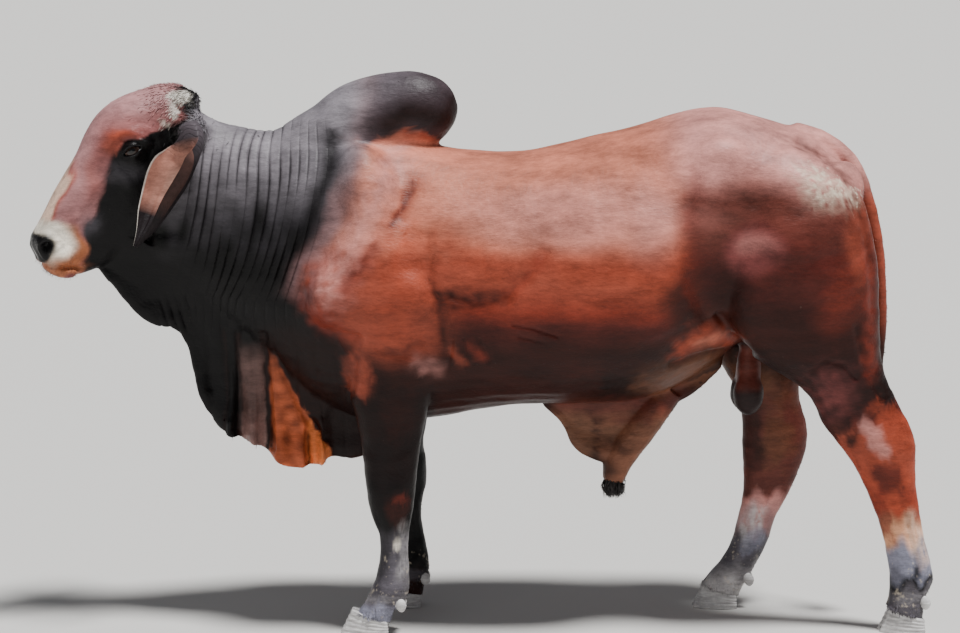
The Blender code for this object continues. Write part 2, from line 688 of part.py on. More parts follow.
def almond_cutter(name, centre, out, size, group):
    """The opening between the lids: a long pointed oval pushed through along the line of sight."""
    out = out.normalized()
    length_way = head_direction(1.0, 0.0, math.tan(LID_SLANT))
    length_way = (length_way - out * length_way.dot(out)).normalized()
    height_way = out.cross(length_way)
    rings = []
    for depth, widen in ((0.004, 0.80), (0.060, 1.50)):
        ring = []
        for index in range(16):
            angle = 2 * math.pi * index / 16
            along = math.cos(angle)
            across = math.copysign(abs(math.sin(angle)) ** 1.35, math.sin(angle))
            ring.append(centre + out * depth + (length_way * along * size[0]
                                                + height_way * across * size[1]) * widen)
        rings.append(ring)
    return loft(name, rings, group)


def mouth_cutter(group):
    """A thin curved plate that cuts the line of the mouth round the muzzle, corner to corner."""
    centre = head_point(0.338, 0.0, MOUTH_HEIGHT)
    forward = head_direction(math.cos(MOUTH_SLOPE), 0.0, math.sin(MOUTH_SLOPE))
    side = head_direction(0.0, 1.0, 0.0)
    up = side.cross(forward)
    rings = []
    for index in range(MOUTH_STEPS + 1):
        angle = MOUTH_SWEEP * (2 * index / MOUTH_STEPS - 1)
        reach = forward * (0.092 * math.cos(angle)) + side * (0.062 * math.sin(angle))
        rings.append([centre + reach * radius + up * (MOUTH_LINE * level)
                      for radius, level in ((0.62, 0.5), (1.60, 0.5), (1.60, -0.5), (0.62, -0.5))])
    return loft("mouth_cutter", rings, group)


def eye_parts(head, group, guides):
    """Lids, sockets and eyeballs, sunk as deep as real ones."""
    for tag, sign in (("left", 1.0), ("right", -1.0)):
        forward, left, height = EYE_PLACE
        centre = head_point(forward, sign * left, height)
        ahead, outward, up = EYE_SIGHT
        sight = head_direction(ahead, sign * outward, up)
        lid = EYE_RADIUS + LID_THICKNESS
        bulge = lobe("lid_bulge", centre, (lid, lid, lid), 0.0, guides, 16, 10)
        boolean(head, bulge, "UNION")
        remove(bulge)
        hollow = EYE_RADIUS + GAP * 1.5
        socket = lobe("socket", centre, (hollow, hollow, hollow), 0.0, guides, 16, 10)
        boolean(head, socket, "DIFFERENCE")
        remove(socket)
        opening = almond_cutter("lid_opening", centre, sight, LID_OPENING, guides)
        boolean(head, opening, "DIFFERENCE")
        remove(opening)
        lobe("eye_" + tag, centre, (EYE_RADIUS,) * 3, 0.0, group, 12, 8)


def nostril_cutter(sign, group):
    """A comma-shaped hollow beside the tip of the muzzle."""
    forward, left, height = NOSTRIL_PLACE
    upper = lobe("nostril_upper", head_point(forward, sign * left, height), (0.019, 0.018, 0.013), 25.0,
                 group, 14, 8)
    lower = lobe("nostril_lower", head_point(forward + 0.012, sign * (left - 0.006), height - 0.010),
                 (0.013, 0.013, 0.009), 25.0, group, 14, 8)
    boolean(upper, lower, "UNION")
    remove(lower)
    return upper


def head_node(forms, group, guides):
    """The head at its finer faces, with eyes, nostrils, mouth line, ear seats and horn buds."""
    head = flesh("head", forms, HEAD_VOXEL, HEAD_SMOOTHING, HEAD_TRIANGLES)
    block = side_prism("head_block", HEAD_OUTLINE, -REACH, REACH, 0.0, guides)
    boolean(head, block, "INTERSECT")
    remove(block)
    keep_largest(head)
    eye_parts(head, group, guides)
    mouth = mouth_cutter(guides)
    boolean(head, mouth, "DIFFERENCE")
    remove(mouth)
    for sign in (1.0, -1.0):
        cutter = nostril_cutter(sign, guides)
        boolean(head, cutter, "DIFFERENCE")
        remove(cutter)
        seat = ear_seat(sign)
        cutter = plane_cutter("ear_seat", seat, ear_out(sign), 0.120, guides)
        boolean(head, cutter, "DIFFERENCE")
        remove(cutter)
    horn_buds(head, group, guides)
    keep_largest(head)
    return head


def ear_seat(sign):
    """The middle of the flat place that an ear grows from."""
    forward, left, height = EAR_SEAT
    return head_point(forward, sign * left, height)


def ear_out(sign):
    """The way an ear leaves the head."""
    return head_direction(-0.10, sign * 1.0, -0.30)


# An ear from its root to its tip: forward, left, height of the middle, width, depth of the cup.
EAR = [
    (0.028, 0.1225, 1.345, 0.076, 0.000),
    (0.046, 0.148, 1.328, 0.098, 0.022),
    (0.074, 0.168, 1.292, 0.124, 0.044),
    (0.104, 0.176, 1.248, 0.132, 0.054),
    (0.128, 0.178, 1.200, 0.118, 0.050),
    (0.147, 0.178, 1.154, 0.094, 0.038),
    (0.163, 0.176, 1.112, 0.064, 0.024),
    (0.179, 0.173, 1.078, 0.034, 0.010),
    (0.191, 0.170, 1.054, 0.010, 0.002),
]


def ear_node(name, sign, group, guides):
    """A long hanging ear: a leaf rolled into a cup that opens outwards and forwards."""
    rows = smooth_rows(EAR, 2)
    rings = []
    for index, (forward, left, height, width, cup) in enumerate(rows):
        centre = head_point(forward, sign * left, height)
        before, after = rows[max(index - 1, 0)], rows[min(index + 1, len(rows) - 1)]
        along = head_point(after[0], sign * after[1], after[2]) - head_point(before[0], sign * before[1],
                                                                            before[2])
        along = ear_out(sign) if index == 0 else along.normalized()
        opening = head_direction(1.5, sign * 1.0, 0.0)
        opening = (opening - along * opening.dot(along)).normalized()
        across = along.cross(opening)
        outer, inner = [], []
        arc = 7
        round_share = max(0.0, 1.0 - index / 3.0)
        for step in range(arc):
            angle = math.pi * (step / (arc - 1) - 0.5)
            sweep, bow = math.sin(angle), math.cos(angle)
            edge = centre + across * (sweep * width / 2)
            wall = EAR_WALL * (0.75 + 0.5 * bow)
            back = cup * bow + round_share * 0.030 * bow + wall * (1 - round_share)
            front = -cup * bow + round_share * 0.034 * bow
            outer.append(edge - opening * back)
            inner.append(edge + opening * front)
        rings.append(outer + inner[-2:0:-1])
    ear = loft(name, rings, group)
    out = ear_out(sign)
    cutter = plane_cutter("ear_clear", ear_seat(sign) + out * GAP, -out, 0.160, guides)
    boolean(ear, cutter, "DIFFERENCE")
    remove(cutter)
    keep_largest(ear)


def horn_buds(head, group, guides):
    """Two small blunt horn buds sunk in the sides of the poll."""
    for tag, sign in (("left", 1.0), ("right", -1.0)):
        forward, left, height = HORN_BUD_PLACE
        centre = head_point(forward, sign * left, height)
        pocket = lobe("bud_pocket", centre, [size + GAP for size in HORN_BUD_SIZES], 0.0, guides, 12, 8)
        boolean(head, pocket, "DIFFERENCE")
        remove(pocket)
        lobe("horn_bud_" + tag, centre, HORN_BUD_SIZES, 0.0, group, 12, 8)


def tail_rings(rows):
    """Rings across the tail, each square to its own stretch."""
    rings = []
    for index, (x, y, z, half_depth, half_side) in enumerate(rows):
        centre = Vector((x, y, z))
        before, after = rows[max(index - 1, 0)], rows[min(index + 1, len(rows) - 1)]
        along = (Vector(after[:3]) - Vector(before[:3])).normalized()
        side = Vector((0.0, 1.0, 0.0))
        across = along.cross(side).normalized() * half_depth
        ring = section(centre + across, centre - across, side, half_side, half_side, 0.5, 2.0, 2.0)
        rings.append(ring)
    return rings


def tail_pieces(group, guides):
    """The free tail in two lengths, and the place and direction of its end."""
    rings = tail_rings(smooth_rows(TAIL, ROW_STEPS))
    rings = [ring[::2] for ring in rings]
    upper = rings[TAIL_ROOT_STEP:TAIL_PARTING_STEP + 1]
    lower = rings[TAIL_PARTING_STEP:]
    away = (sum(lower[1], Vector()) - sum(lower[0], Vector())).normalized() * GAP
    lower = [[point + away for point in lower[0]]] + lower[1:]
    loft("tail_upper", upper, group)
    loft("tail_lower", lower, group)
    return rings


def lock(name, path, width, thickness, flat_way, group):
    """A flat tapered lock of hair that bends along a path and ends in a point."""
    rings = []
    for index, point in enumerate(path):
        share = index / (len(path) - 1)
        ahead = (path[min(index + 1, len(path) - 1)] - path[max(index - 1, 0)]).normalized()
        across = ahead.cross(flat_way).normalized()
        thin = across.cross(ahead).normalized()
        swell = math.sin(math.pi * min(0.30 + 0.70 * share, 0.985)) ** 0.8
        half, deep = width * swell / 2, thickness * (1.15 - share) / 2
        rings.append([point - across * half, point + thin * deep, point + across * half,
                      point - thin * deep])
    return loft(name, rings, group)


def hair_node(name, core_path, count, length, spread, width, thickness, seed, group):
    """A tassel of long hair: a short core with flat locks round it, fused into one body."""
    draw = random.Random(seed)
    core = tube(name, core_path, group)
    way = (core_path[1][0] - core_path[0][0]).normalized()
    strands = collection(name + "_locks")
    for index in range(count):
        around = index * 2.399963 + draw.uniform(-0.2, 0.2)
        level = index / count
        centre, radius = core_path[min(int(level * (len(core_path) - 1)), len(core_path) - 2)]
        out = Vector((math.cos(around), math.sin(around), 0.0))
        reach = length * (1.0 - 0.35 * level) * draw.uniform(0.86, 1.0)
        start = centre + out * radius * 0.35 + way * 0.012
        path = []
        for step in range(5):
            share = step / 4
            sway = out * (radius * 0.5 + spread) * math.sin(math.pi * min(share, 0.62))
            path.append(start - Vector((0.0, 0.0, reach * share)) + sway * 0.9)
        lock("%s_lock_%02d" % (name, index), path, width * draw.uniform(0.8, 1.2), thickness, out, strands)
    fuse = core.modifiers.new("fuse locks", "BOOLEAN")
    fuse.operand_type = "COLLECTION"
    fuse.collection = strands
    fuse.operation = "UNION"
    fuse.solver = "MANIFOLD"
    apply_modifiers(core)
    for strand in list(strands.objects):
        remove(strand)
    bpy.data.collections.remove(strands)
    keep_largest(core)


def claw(name, toe_x, heel_x, inner_y, outer_y, group):
    """One half of a cloven hoof, with a flat sole, a pointed toe and a slanting upper rim."""
    length, width = toe_x - heel_x, outer_y - inner_y
    rings = []
    for level, draw_in, set_back in ((0.0, 1.0, 0.0), (0.35, 0.985, 0.10), (1.0, 0.90, 0.27)):
        ring = []
        for index in range(CLAW_SIDES):
            angle = 2 * math.pi * index / CLAW_SIDES
            along = 0.5 + 0.5 * power_wave(math.cos(angle), 2.3)
            across = 0.5 + 0.5 * power_wave(math.sin(angle), 2.6)
            narrow = 1.0 - 0.42 * along ** 3
            x = heel_x + length * along * (1.0 - set_back) + length * 0.02 * level
            y = inner_y + width * (across * narrow * draw_in + 0.04 * (1 - draw_in))
            rim = HOOF_HEEL_HEIGHT + (HOOF_TOE_HEIGHT - HOOF_HEEL_HEIGHT) * along
            ring.append(Vector((x, y, rim * level)))
        rings.append(ring)
    return loft(name, rings, group)


def feet(limbs, group, guides):
    """Four cloven feet with their dewclaws, and the slanting rims that the legs stand on."""
    for tag, (centre_x, centre_y, length) in SOLES.items():
        sign = math.copysign(1.0, centre_y)
        toe_x, heel_x = centre_x - length / 2, centre_x + length / 2
        half = 0.051
        for claw_tag, way in (("outer", sign), ("inner", -sign)):
            claw("hoof_%s_%s" % (tag, claw_tag), toe_x, heel_x, centre_y + way * HOOF_CLEFT / 2,
                 centre_y + way * half, group)
        top_length = length * (1.0 - 0.27)
        slope = math.atan2(HOOF_TOE_HEIGHT - HOOF_HEEL_HEIGHT, top_length)
        rim = Vector((heel_x, centre_y, HOOF_HEEL_HEIGHT + GAP))
        down = Vector((math.sin(slope) * -1.0, 0.0, -math.cos(slope)))
        cutter = plane_cutter("rim_cutter", rim, down, 0.500, guides)
        boolean(limbs[tag], cutter, "DIFFERENCE")
        remove(cutter)
        keep_largest(limbs[tag])
        dewclaws(tag, limbs[tag], centre_y, sign, group, guides)


DEWCLAW_X = {"fore_left": -0.236, "fore_right": -0.178, "hind_left": 1.178, "hind_right": 0.730}


def dewclaws(tag, limb, centre_y, sign, group, guides):
    """Two small horny claws sunk in the back of each pastern."""
    for claw_tag, way in (("outer", sign), ("inner", -sign)):
        centre = Vector((DEWCLAW_X[tag], centre_y + way * 0.026, DEWCLAW_HEIGHT))
        sizes = (DEWCLAW_RADIUS, DEWCLAW_RADIUS * 0.85, DEWCLAW_RADIUS * 1.35)
        pocket = lobe("pocket", centre, [size + GAP for size in sizes], -28.0, guides, 8, 6)
        boolean(limb, pocket, "DIFFERENCE")
        remove(pocket)
        lobe("dewclaw_%s_%s" % (tag, claw_tag), centre, sizes, -28.0, group, 8, 6)
    keep_largest(limb)


def gullet_masses(group):
    """The full flesh between the corner of the jaw and the neck, on both sides."""
    return [lobe("gullet", head_point(forward, sign * left, height), sizes, 25.0, group)
            for sign in (1.0, -1.0)
            for forward, left, height, sizes in ((-0.020, 0.050, 1.130, (0.085, 0.052, 0.110)),
                                                 (0.055, 0.040, 1.050, (0.075, 0.052, 0.055)))]


def mirrored_lobes(tag, rows, group):
    """The same rounded masses on both sides of the body."""
    masses = []
    for index, (centre, sizes, turn) in enumerate(rows):
        for sign in (-1.0, 1.0):
            place = Vector((centre[0], centre[1] * sign, centre[2]))
            masses.append(lobe("%s_%d" % (tag, index), place, sizes, turn, group))
    return masses


def body_node(group, guides):
    """All the flesh of the body but the head's fine form, grown into one surface."""
    forms = [trunk_form(guides), neck_form(NECK, guides), head_form(guides)]
    for tag, rows in LIMB_ROWS.items():
        sign = -1.0 if tag.endswith("left") else 1.0
        forms.append(limb_form(tag + "_form", rows, sign, guides))
    forms += [lobe("hump_form", *row, guides) for row in HUMP]
    forms += mirrored_lobes("shoulder", SHOULDER, guides)
    forms += mirrored_lobes("rump", RUMP, guides)
    forms += gullet_masses(guides)
    forms.append(skin_sheet("dewlap_form", DEWLAP, DEWLAP_ROOT, guides))
    forms.append(skin_sheet("sheath_form", SHEATH, 0.050, guides))
    forms.append(tube("sheath_tube", SHEATH_TUBE, guides))
    forms += [lobe("scrotum_form", *row, guides) for row in SCROTUM]
    forms.append(loft("tail_form", tail_rings(smooth_rows(TAIL, ROW_STEPS))[:TAIL_ROOT_STEP + 3], guides))
    body = flesh("torso", forms, BODY_VOXEL, BODY_SMOOTHING, BODY_TRIANGLES)
    guides.objects.unlink(body)
    group.objects.link(body)
    return body


def tail_root_plane(rings):
    """The middle of the free tail's first ring and the way the tail runs there."""
    first, second = rings[TAIL_ROOT_STEP], rings[TAIL_ROOT_STEP + 1]
    middle = sum(first, Vector()) / len(first)
    normal = (first[2] - first[0]).cross(first[6] - first[0]).normalized()
    ahead = sum(second, Vector()) / len(second) - middle
    return middle, normal if normal.dot(ahead) > 0 else -normal


def parted_limbs(body, group, guides):
    """The four limbs, each in an upper and a lower length."""
    feet_of = {}
    for tag, sign in (("fore_left", -1.0), ("fore_right", 1.0), ("hind_left", -1.0), ("hind_right", 1.0)):
        fore = tag.startswith("fore")
        outline = FORE_OUTLINE if fore else HIND_OUTLINES[tag]
        middle = FORE_MIDDLE if fore else HIND_MIDDLE
        low, high = sorted((sign * middle, sign * REACH))
        upper = part_off(body, tag + "_upper", outline, low, high, group, guides)
        joint = KNEE_HEIGHT if fore else HOCK_HEIGHTS[tag]
        below = [(-1.500, joint), (1.500, joint), (1.500, -0.200), (-1.500, -0.200)]
        feet_of[tag] = part_off(upper, tag + "_lower", below, -REACH, REACH, group, guides)
        keep_largest(upper)
    return feet_of


def finish(group, looks):
    """Give each node its material, smooth round faces, and the shift that centres the model."""
    for node in group.objects:
        node.data.materials.clear()
        node.data.materials.append(looks[slot_of(node.name)])
        node.data.transform(Matrix.Translation((SHIFT_X, 0.0, 0.0)))
        node.data.shade_smooth()
        node.data.set_sharp_from_angle(angle=math.radians(50.0))


def slot_of(name):
    """The material that a node is made of."""
    for start, slot in (("eye", "eye"), ("horn", "horn"), ("hoof", "horn"), ("dewclaw", "horn"),
                        ("tail_switch", "long_hair"), ("sheath_tuft", "long_hair"),
                        ("ear", "head_coat"), ("head", "head_coat"), ("neck", "dark_coat"),
                        ("hump", "dark_coat"), ("dewlap", "dark_coat"), ("sheath", "pale_skin"),
                        ("scrotum", "dark_coat"), ("fore", "dark_coat")):
        if name.startswith(start):
            return slot
    return "red_coat"


def main():
    clear_scene()
    group = collection(NAME)
    guides = collection("guides")
    looks = {name: material(name) for name in COLOURS}

    body = body_node(group, guides)
    head_forms = [head_form(guides), neck_form(NECK[:HEAD_NECK_ROWS], guides)] + head_masses(guides)
    head_forms += gullet_masses(guides)
    head_forms.append(skin_sheet("throat_form", DEWLAP[:HEAD_DEWLAP_ROWS], DEWLAP_ROOT, guides))
    head = head_node(head_forms, group, guides)
    guides.objects.unlink(head)
    group.objects.link(head)
    clear = side_prism("head_clear", HEAD_OUTLINE, -REACH, REACH, GAP, guides)
    boolean(body, clear, "DIFFERENCE")
    remove(clear)
    for tag, sign in (("left", 1.0), ("right", -1.0)):
        ear_node("ear_" + tag, sign, group, guides)

    rings = tail_pieces(group, guides)
    middle, ahead = tail_root_plane(rings)
    cutter = plane_cutter("tail_clear", middle - ahead * GAP, ahead, 0.090, guides)
    boolean(body, cutter, "DIFFERENCE")
    remove(cutter)
    keep_largest(body)

    feet_of = parted_limbs(body, group, guides)
    part_off(body, "hump", HUMP_OUTLINE, -REACH, REACH, group, guides)
    part_off(body, "dewlap", DEWLAP_OUTLINE, -REACH, REACH, group, guides)
    part_off(body, "scrotum", SCROTUM_OUTLINE, -REACH, REACH, group, guides)
    sheath = part_off(body, "sheath", SHEATH_OUTLINE, -REACH, REACH, group, guides)
    part_off(body, "neck", NECK_OUTLINE, -REACH, REACH, group, guides)
    keep_largest(body)
    feet(feet_of, group, guides)

    end = Vector((SHEATH_TUBE[-1][0].x, 0.0, SHEATH_END))
    cutter = plane_cutter("sheath_clear", end + Vector((0, 0, GAP)), Vector((0, 0, -1)), 0.300, guides)
    boolean(sheath, cutter, "DIFFERENCE")
    remove(cutter)
    keep_largest(sheath)
    down = Vector((0.0, 0.0, -1.0))
    hair_node("sheath_tuft", [(end, 0.026), (end + down * 0.018, 0.022), (end + down * 0.034, 0.012)],
              TUFT_LOCKS, end.z - TUFT_END, 0.008, 0.020, 0.007, 5, group)
    last = rings[-1]
    tip = sum(last, Vector()) / len(last)
    way = (tip - sum(rings[-2], Vector()) / len(last)).normalized()
    tip = tip + way * GAP
    bend = tip + way * 0.050
    hair_node("tail_switch", [(tip, 0.018), (bend, 0.024), (bend + down * 0.060, 0.022),
                              (bend + down * 0.100, 0.010)],
              SWITCH_LOCKS, tip.z - SWITCH_END, 0.018, 0.030, 0.010, 11, group)
    finish(group, looks)


main()
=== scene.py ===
"""Looks of a life-size standing Brahman bull: skin, eyes, ears, horn, long hair and the stage.

The bull faces -X, its left side is towards -Y and it stands on z = 0. Sizes are in metres. The
tables of the flesh are written before the small shift along X that centres the finished model.
"""
import math
import random

import bpy
import numpy as np
from mathutils import Matrix, Vector


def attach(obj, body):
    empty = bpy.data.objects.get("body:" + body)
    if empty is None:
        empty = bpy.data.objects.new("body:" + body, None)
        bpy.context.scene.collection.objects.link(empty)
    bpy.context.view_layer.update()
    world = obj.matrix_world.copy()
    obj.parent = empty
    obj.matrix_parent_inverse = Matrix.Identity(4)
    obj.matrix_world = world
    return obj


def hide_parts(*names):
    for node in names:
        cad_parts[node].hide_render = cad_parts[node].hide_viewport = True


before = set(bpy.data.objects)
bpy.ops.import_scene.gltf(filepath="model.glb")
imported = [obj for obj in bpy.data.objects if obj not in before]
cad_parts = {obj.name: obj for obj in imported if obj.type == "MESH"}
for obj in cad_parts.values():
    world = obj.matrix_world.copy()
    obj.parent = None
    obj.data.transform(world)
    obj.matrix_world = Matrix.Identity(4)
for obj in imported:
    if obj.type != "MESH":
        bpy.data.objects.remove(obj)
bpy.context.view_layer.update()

bl_info = {
    "name": "Brahman bull",
    "version": (1, 0, 0),
    "blender": (4, 5, 0),
    "location": "View3D > Sidebar > Bull",
    "description": "Skin, coat, eyes, horn and long hair of a standing Brahman bull",
    "category": "Object",
}

FLESH = ["torso", "neck", "head", "hump", "dewlap", "sheath", "scrotum", "tail_upper", "tail_lower"]
LIMBS = ["fore_left", "fore_right", "hind_left", "hind_right"]
FLESH += [limb + part for limb in LIMBS for part in ("_upper", "_lower")]
SIDE = Vector((0.0, 1.0, 0.0))
DOWN = Vector((0.0, 0.0, -1.0))

SHIFT_X = 0.0093

# The photo in pixels and the camera that took it: how far back and how high it stands, its focal
# length in pixels, the row where it looks level, and the x in the middle of the picture.
PHOTO_WIDTH, PHOTO_HEIGHT = 960, 633
CAMERA_BACK, CAMERA_HEIGHT = 7.5, 1.776
FOCAL_PIXELS, LEVEL_ROW, MIDDLE_X = 2775.0, -30, -0.022
# How much of the near flank one pixel covers.
FLANK_DEPTH = 0.28
FLANK_SCALE = (CAMERA_BACK - FLANK_DEPTH) / FOCAL_PIXELS

# The head turns a little to the bull's left; its places are given as forward of the poll,
# to the left of its middle plane, and height above the ground.
POLL = Vector((-0.800, -0.020, 0.0))
HEAD_TURN = math.radians(18.0)

DEWLAP_ROOT = 0.050

EYE_RADIUS = 0.0235
EYE_PLACE = (0.177, 0.0890, 1.300)
EYE_SIGHT = (0.30, 1.0, 0.10)
LID_THICKNESS = 0.0055
LID_OPENING = (0.0240, 0.0118)
LID_SLANT = math.radians(-24.0)

NOSTRIL_PLACE = (0.410, 0.056, 1.048)
MOUTH_HEIGHT = 0.990
MOUTH_SLOPE = math.radians(7.0)

HORN_BUD_PLACE = (0.022, 0.074, 1.418)
HORN_BUD_SIZES = (0.021, 0.013, 0.018)

HOOF_TOE_HEIGHT = 0.068
HOOF_HEEL_HEIGHT = 0.036
HOOF_CLEFT = 0.0060
DEWCLAW_RADIUS = 0.0155
DEWCLAW_HEIGHT = 0.082

# Sections of the trunk: place along the body, top, underside, half width, height of the widest
# place as a share of the depth, and how full the upper and the lower half are.
TRUNK = [
    (-0.440, 1.345, 0.600, 0.205, 0.50, 2.0, 1.9),
    (-0.340, 1.345, 0.560, 0.245, 0.50, 2.0, 1.9),
    (-0.220, 1.325, 0.555, 0.262, 0.48, 2.0, 2.0),
    (-0.100, 1.303, 0.572, 0.282, 0.45, 2.0, 2.0),
    (0.030, 1.291, 0.598, 0.306, 0.43, 2.0, 2.1),
    (0.140, 1.301, 0.604, 0.322, 0.42, 2.0, 2.1),
    (0.250, 1.327, 0.606, 0.330, 0.42, 2.0, 2.1),
    (0.360, 1.352, 0.612, 0.326, 0.44, 2.0, 2.1),
    (0.460, 1.379, 0.630, 0.312, 0.48, 2.1, 2.0),
    (0.550, 1.405, 0.672, 0.290, 0.54, 2.2, 1.9),
    (0.630, 1.410, 0.730, 0.272, 0.60, 2.3, 1.9),
    (0.710, 1.393, 0.790, 0.258, 0.60, 2.2, 1.9),
    (0.790, 1.367, 0.850, 0.236, 0.60, 2.0, 1.9),
    (0.870, 1.343, 0.910, 0.190, 0.60, 1.9, 1.9),
    (0.935, 1.290, 0.990, 0.125, 0.60, 1.8, 1.8),
    (0.965, 1.230, 1.080, 0.060, 0.55, 2.0, 2.0),
]

# Sections of the neck: crest point, throat point, place to the side, half width, widest share.
NECK = [
    (-0.800, 1.430, -0.900, 1.060, -0.042, 0.078, 0.55),
    (-0.742, 1.383, -0.850, 0.950, -0.036, 0.098, 0.50),
    (-0.672, 1.360, -0.750, 0.860, -0.024, 0.124, 0.47),
    (-0.600, 1.349, -0.655, 0.780, -0.010, 0.155, 0.45),
    (-0.530, 1.352, -0.560, 0.700, 0.000, 0.186, 0.45),
    (-0.450, 1.365, -0.465, 0.620, 0.000, 0.218, 0.46),
    (-0.350, 1.350, -0.355, 0.580, 0.000, 0.240, 0.48),
]

# Sections of the head: forehead point and jaw point, each forward and height, then the half
# width near the top and near the jaw, the widest share and how flat the front is.
HEAD = [
    (-0.012, 1.415, 0.000, 1.160, 0.062, 0.052, 0.60, 2.2),
    (0.020, 1.468, 0.022, 1.110, 0.082, 0.070, 0.62, 2.2),
    (0.078, 1.474, 0.058, 1.075, 0.098, 0.082, 0.64, 2.3),
    (0.140, 1.459, 0.098, 1.052, 0.108, 0.084, 0.66, 2.3),
    (0.200, 1.436, 0.135, 1.036, 0.110, 0.078, 0.68, 2.3),
    (0.250, 1.398, 0.170, 1.022, 0.098, 0.068, 0.68, 2.4),
    (0.284, 1.348, 0.200, 1.008, 0.084, 0.060, 0.66, 2.6),
    (0.310, 1.292, 0.228, 0.995, 0.074, 0.054, 0.66, 2.8),
    (0.342, 1.240, 0.256, 0.984, 0.067, 0.050, 0.66, 3.0),
    (0.373, 1.190, 0.285, 0.974, 0.062, 0.049, 0.62, 3.0),
    (0.397, 1.144, 0.318, 0.966, 0.062, 0.050, 0.56, 2.8),
    (0.417, 1.108, 0.352, 0.963, 0.067, 0.051, 0.52, 2.5),
    (0.434, 1.080, 0.388, 0.974, 0.062, 0.045, 0.52, 2.3),
    (0.441, 1.052, 0.414, 0.998, 0.042, 0.030, 0.52, 2.2),
]

# Rounded masses that the lofts don't draw: middle, half sizes and turn about the Y axis.
HUMP = [
    ((-0.218, 0.0, 1.398), (0.140, 0.092, 0.110), -8.0),
    ((-0.325, 0.0, 1.362), (0.148, 0.102, 0.126), -12.0),
    ((-0.420, 0.0, 1.305), (0.110, 0.112, 0.120), -28.0),
]
SHOULDER = [
    ((-0.290, 0.135, 1.080), (0.110, 0.108, 0.250), -16.0),
    ((-0.385, 0.185, 0.920), (0.105, 0.105, 0.105), 0.0),
    ((-0.225, 0.200, 0.910), (0.135, 0.095, 0.120), 20.0),
]
RUMP = [
    ((0.610, 0.190, 1.285), (0.085, 0.060, 0.060), 0.0),
    ((0.800, 0.150, 1.180), (0.190, 0.115, 0.130), 18.0),
    ((0.945, 0.100, 1.190), (0.062, 0.052, 0.080), 0.0),
]

# Sections of a limb: height, front edge, rear edge, place to the side and half width.
FORE_NEAR = [
    (1.120, -0.400, -0.150, 0.150, 0.095),
    (1.020, -0.450, -0.125, 0.165, 0.115),
    (0.920, -0.470, -0.118, 0.175, 0.118),
    (0.850, -0.452, -0.114, 0.175, 0.110),
    (0.795, -0.405, -0.114, 0.172, 0.094),
    (0.735, -0.376, -0.122, 0.170, 0.080),
    (0.656, -0.374, -0.150, 0.168, 0.066),
    (0.590, -0.357, -0.165, 0.168, 0.058),
    (0.529, -0.343, -0.177, 0.168, 0.052),
    (0.467, -0.333, -0.186, 0.168, 0.050),
    (0.415, -0.328, -0.193, 0.168, 0.054),
    (0.360, -0.322, -0.198, 0.168, 0.053),
    (0.312, -0.311, -0.204, 0.168, 0.044),
    (0.270, -0.294, -0.211, 0.168, 0.035),
    (0.215, -0.292, -0.214, 0.168, 0.033),
    (0.160, -0.303, -0.212, 0.168, 0.038),
    (0.122, -0.318, -0.212, 0.168, 0.046),
    (0.090, -0.334, -0.222, 0.168, 0.046),
    (0.060, -0.354, -0.250, 0.168, 0.049),
    (0.010, -0.378, -0.264, 0.168, 0.050),
]
FORE_FAR = FORE_NEAR[:3] + [
    (0.850, -0.452, -0.112, 0.175, 0.110),
    (0.795, -0.400, -0.110, 0.172, 0.094),
    (0.735, -0.368, -0.114, 0.170, 0.080),
    (0.656, -0.356, -0.138, 0.165, 0.066),
    (0.590, -0.340, -0.156, 0.162, 0.058),
    (0.529, -0.326, -0.168, 0.160, 0.052),
    (0.467, -0.312, -0.178, 0.160, 0.050),
    (0.415, -0.304, -0.172, 0.160, 0.054),
    (0.360, -0.296, -0.172, 0.160, 0.053),
    (0.312, -0.284, -0.180, 0.160, 0.044),
    (0.270, -0.266, -0.184, 0.160, 0.035),
    (0.215, -0.254, -0.178, 0.160, 0.033),
    (0.160, -0.256, -0.168, 0.160, 0.038),
    (0.122, -0.264, -0.163, 0.160, 0.046),
    (0.090, -0.274, -0.166, 0.160, 0.046),
    (0.060, -0.282, -0.176, 0.160, 0.049),
    (0.010, -0.298, -0.184, 0.160, 0.050),
]
HIND_NEAR = [
    (1.270, 0.640, 0.940, 0.120, 0.100),
    (1.180, 0.615, 0.995, 0.145, 0.120),
    (1.080, 0.605, 1.022, 0.158, 0.130),
    (0.980, 0.606, 1.038, 0.162, 0.128),
    (0.890, 0.618, 1.042, 0.162, 0.120),
    (0.810, 0.650, 1.046, 0.158, 0.104),
    (0.745, 0.712, 1.054, 0.152, 0.088),
    (0.700, 0.785, 1.066, 0.148, 0.076),
    (0.655, 0.850, 1.086, 0.145, 0.064),
    (0.610, 0.880, 1.108, 0.142, 0.054),
    (0.565, 0.900, 1.134, 0.140, 0.049),
    (0.525, 0.930, 1.148, 0.140, 0.048),
    (0.480, 0.964, 1.151, 0.140, 0.047),
    (0.430, 0.996, 1.150, 0.140, 0.042),
    (0.372, 1.024, 1.156, 0.140, 0.036),
    (0.310, 1.050, 1.168, 0.140, 0.034),
    (0.250, 1.068, 1.180, 0.140, 0.035),
    (0.190, 1.081, 1.196, 0.140, 0.040),
    (0.140, 1.086, 1.204, 0.140, 0.046),
    (0.095, 1.082, 1.186, 0.140, 0.046),
    (0.060, 1.072, 1.180, 0.140, 0.050),
    (0.010, 1.056, 1.176, 0.140, 0.052),
]
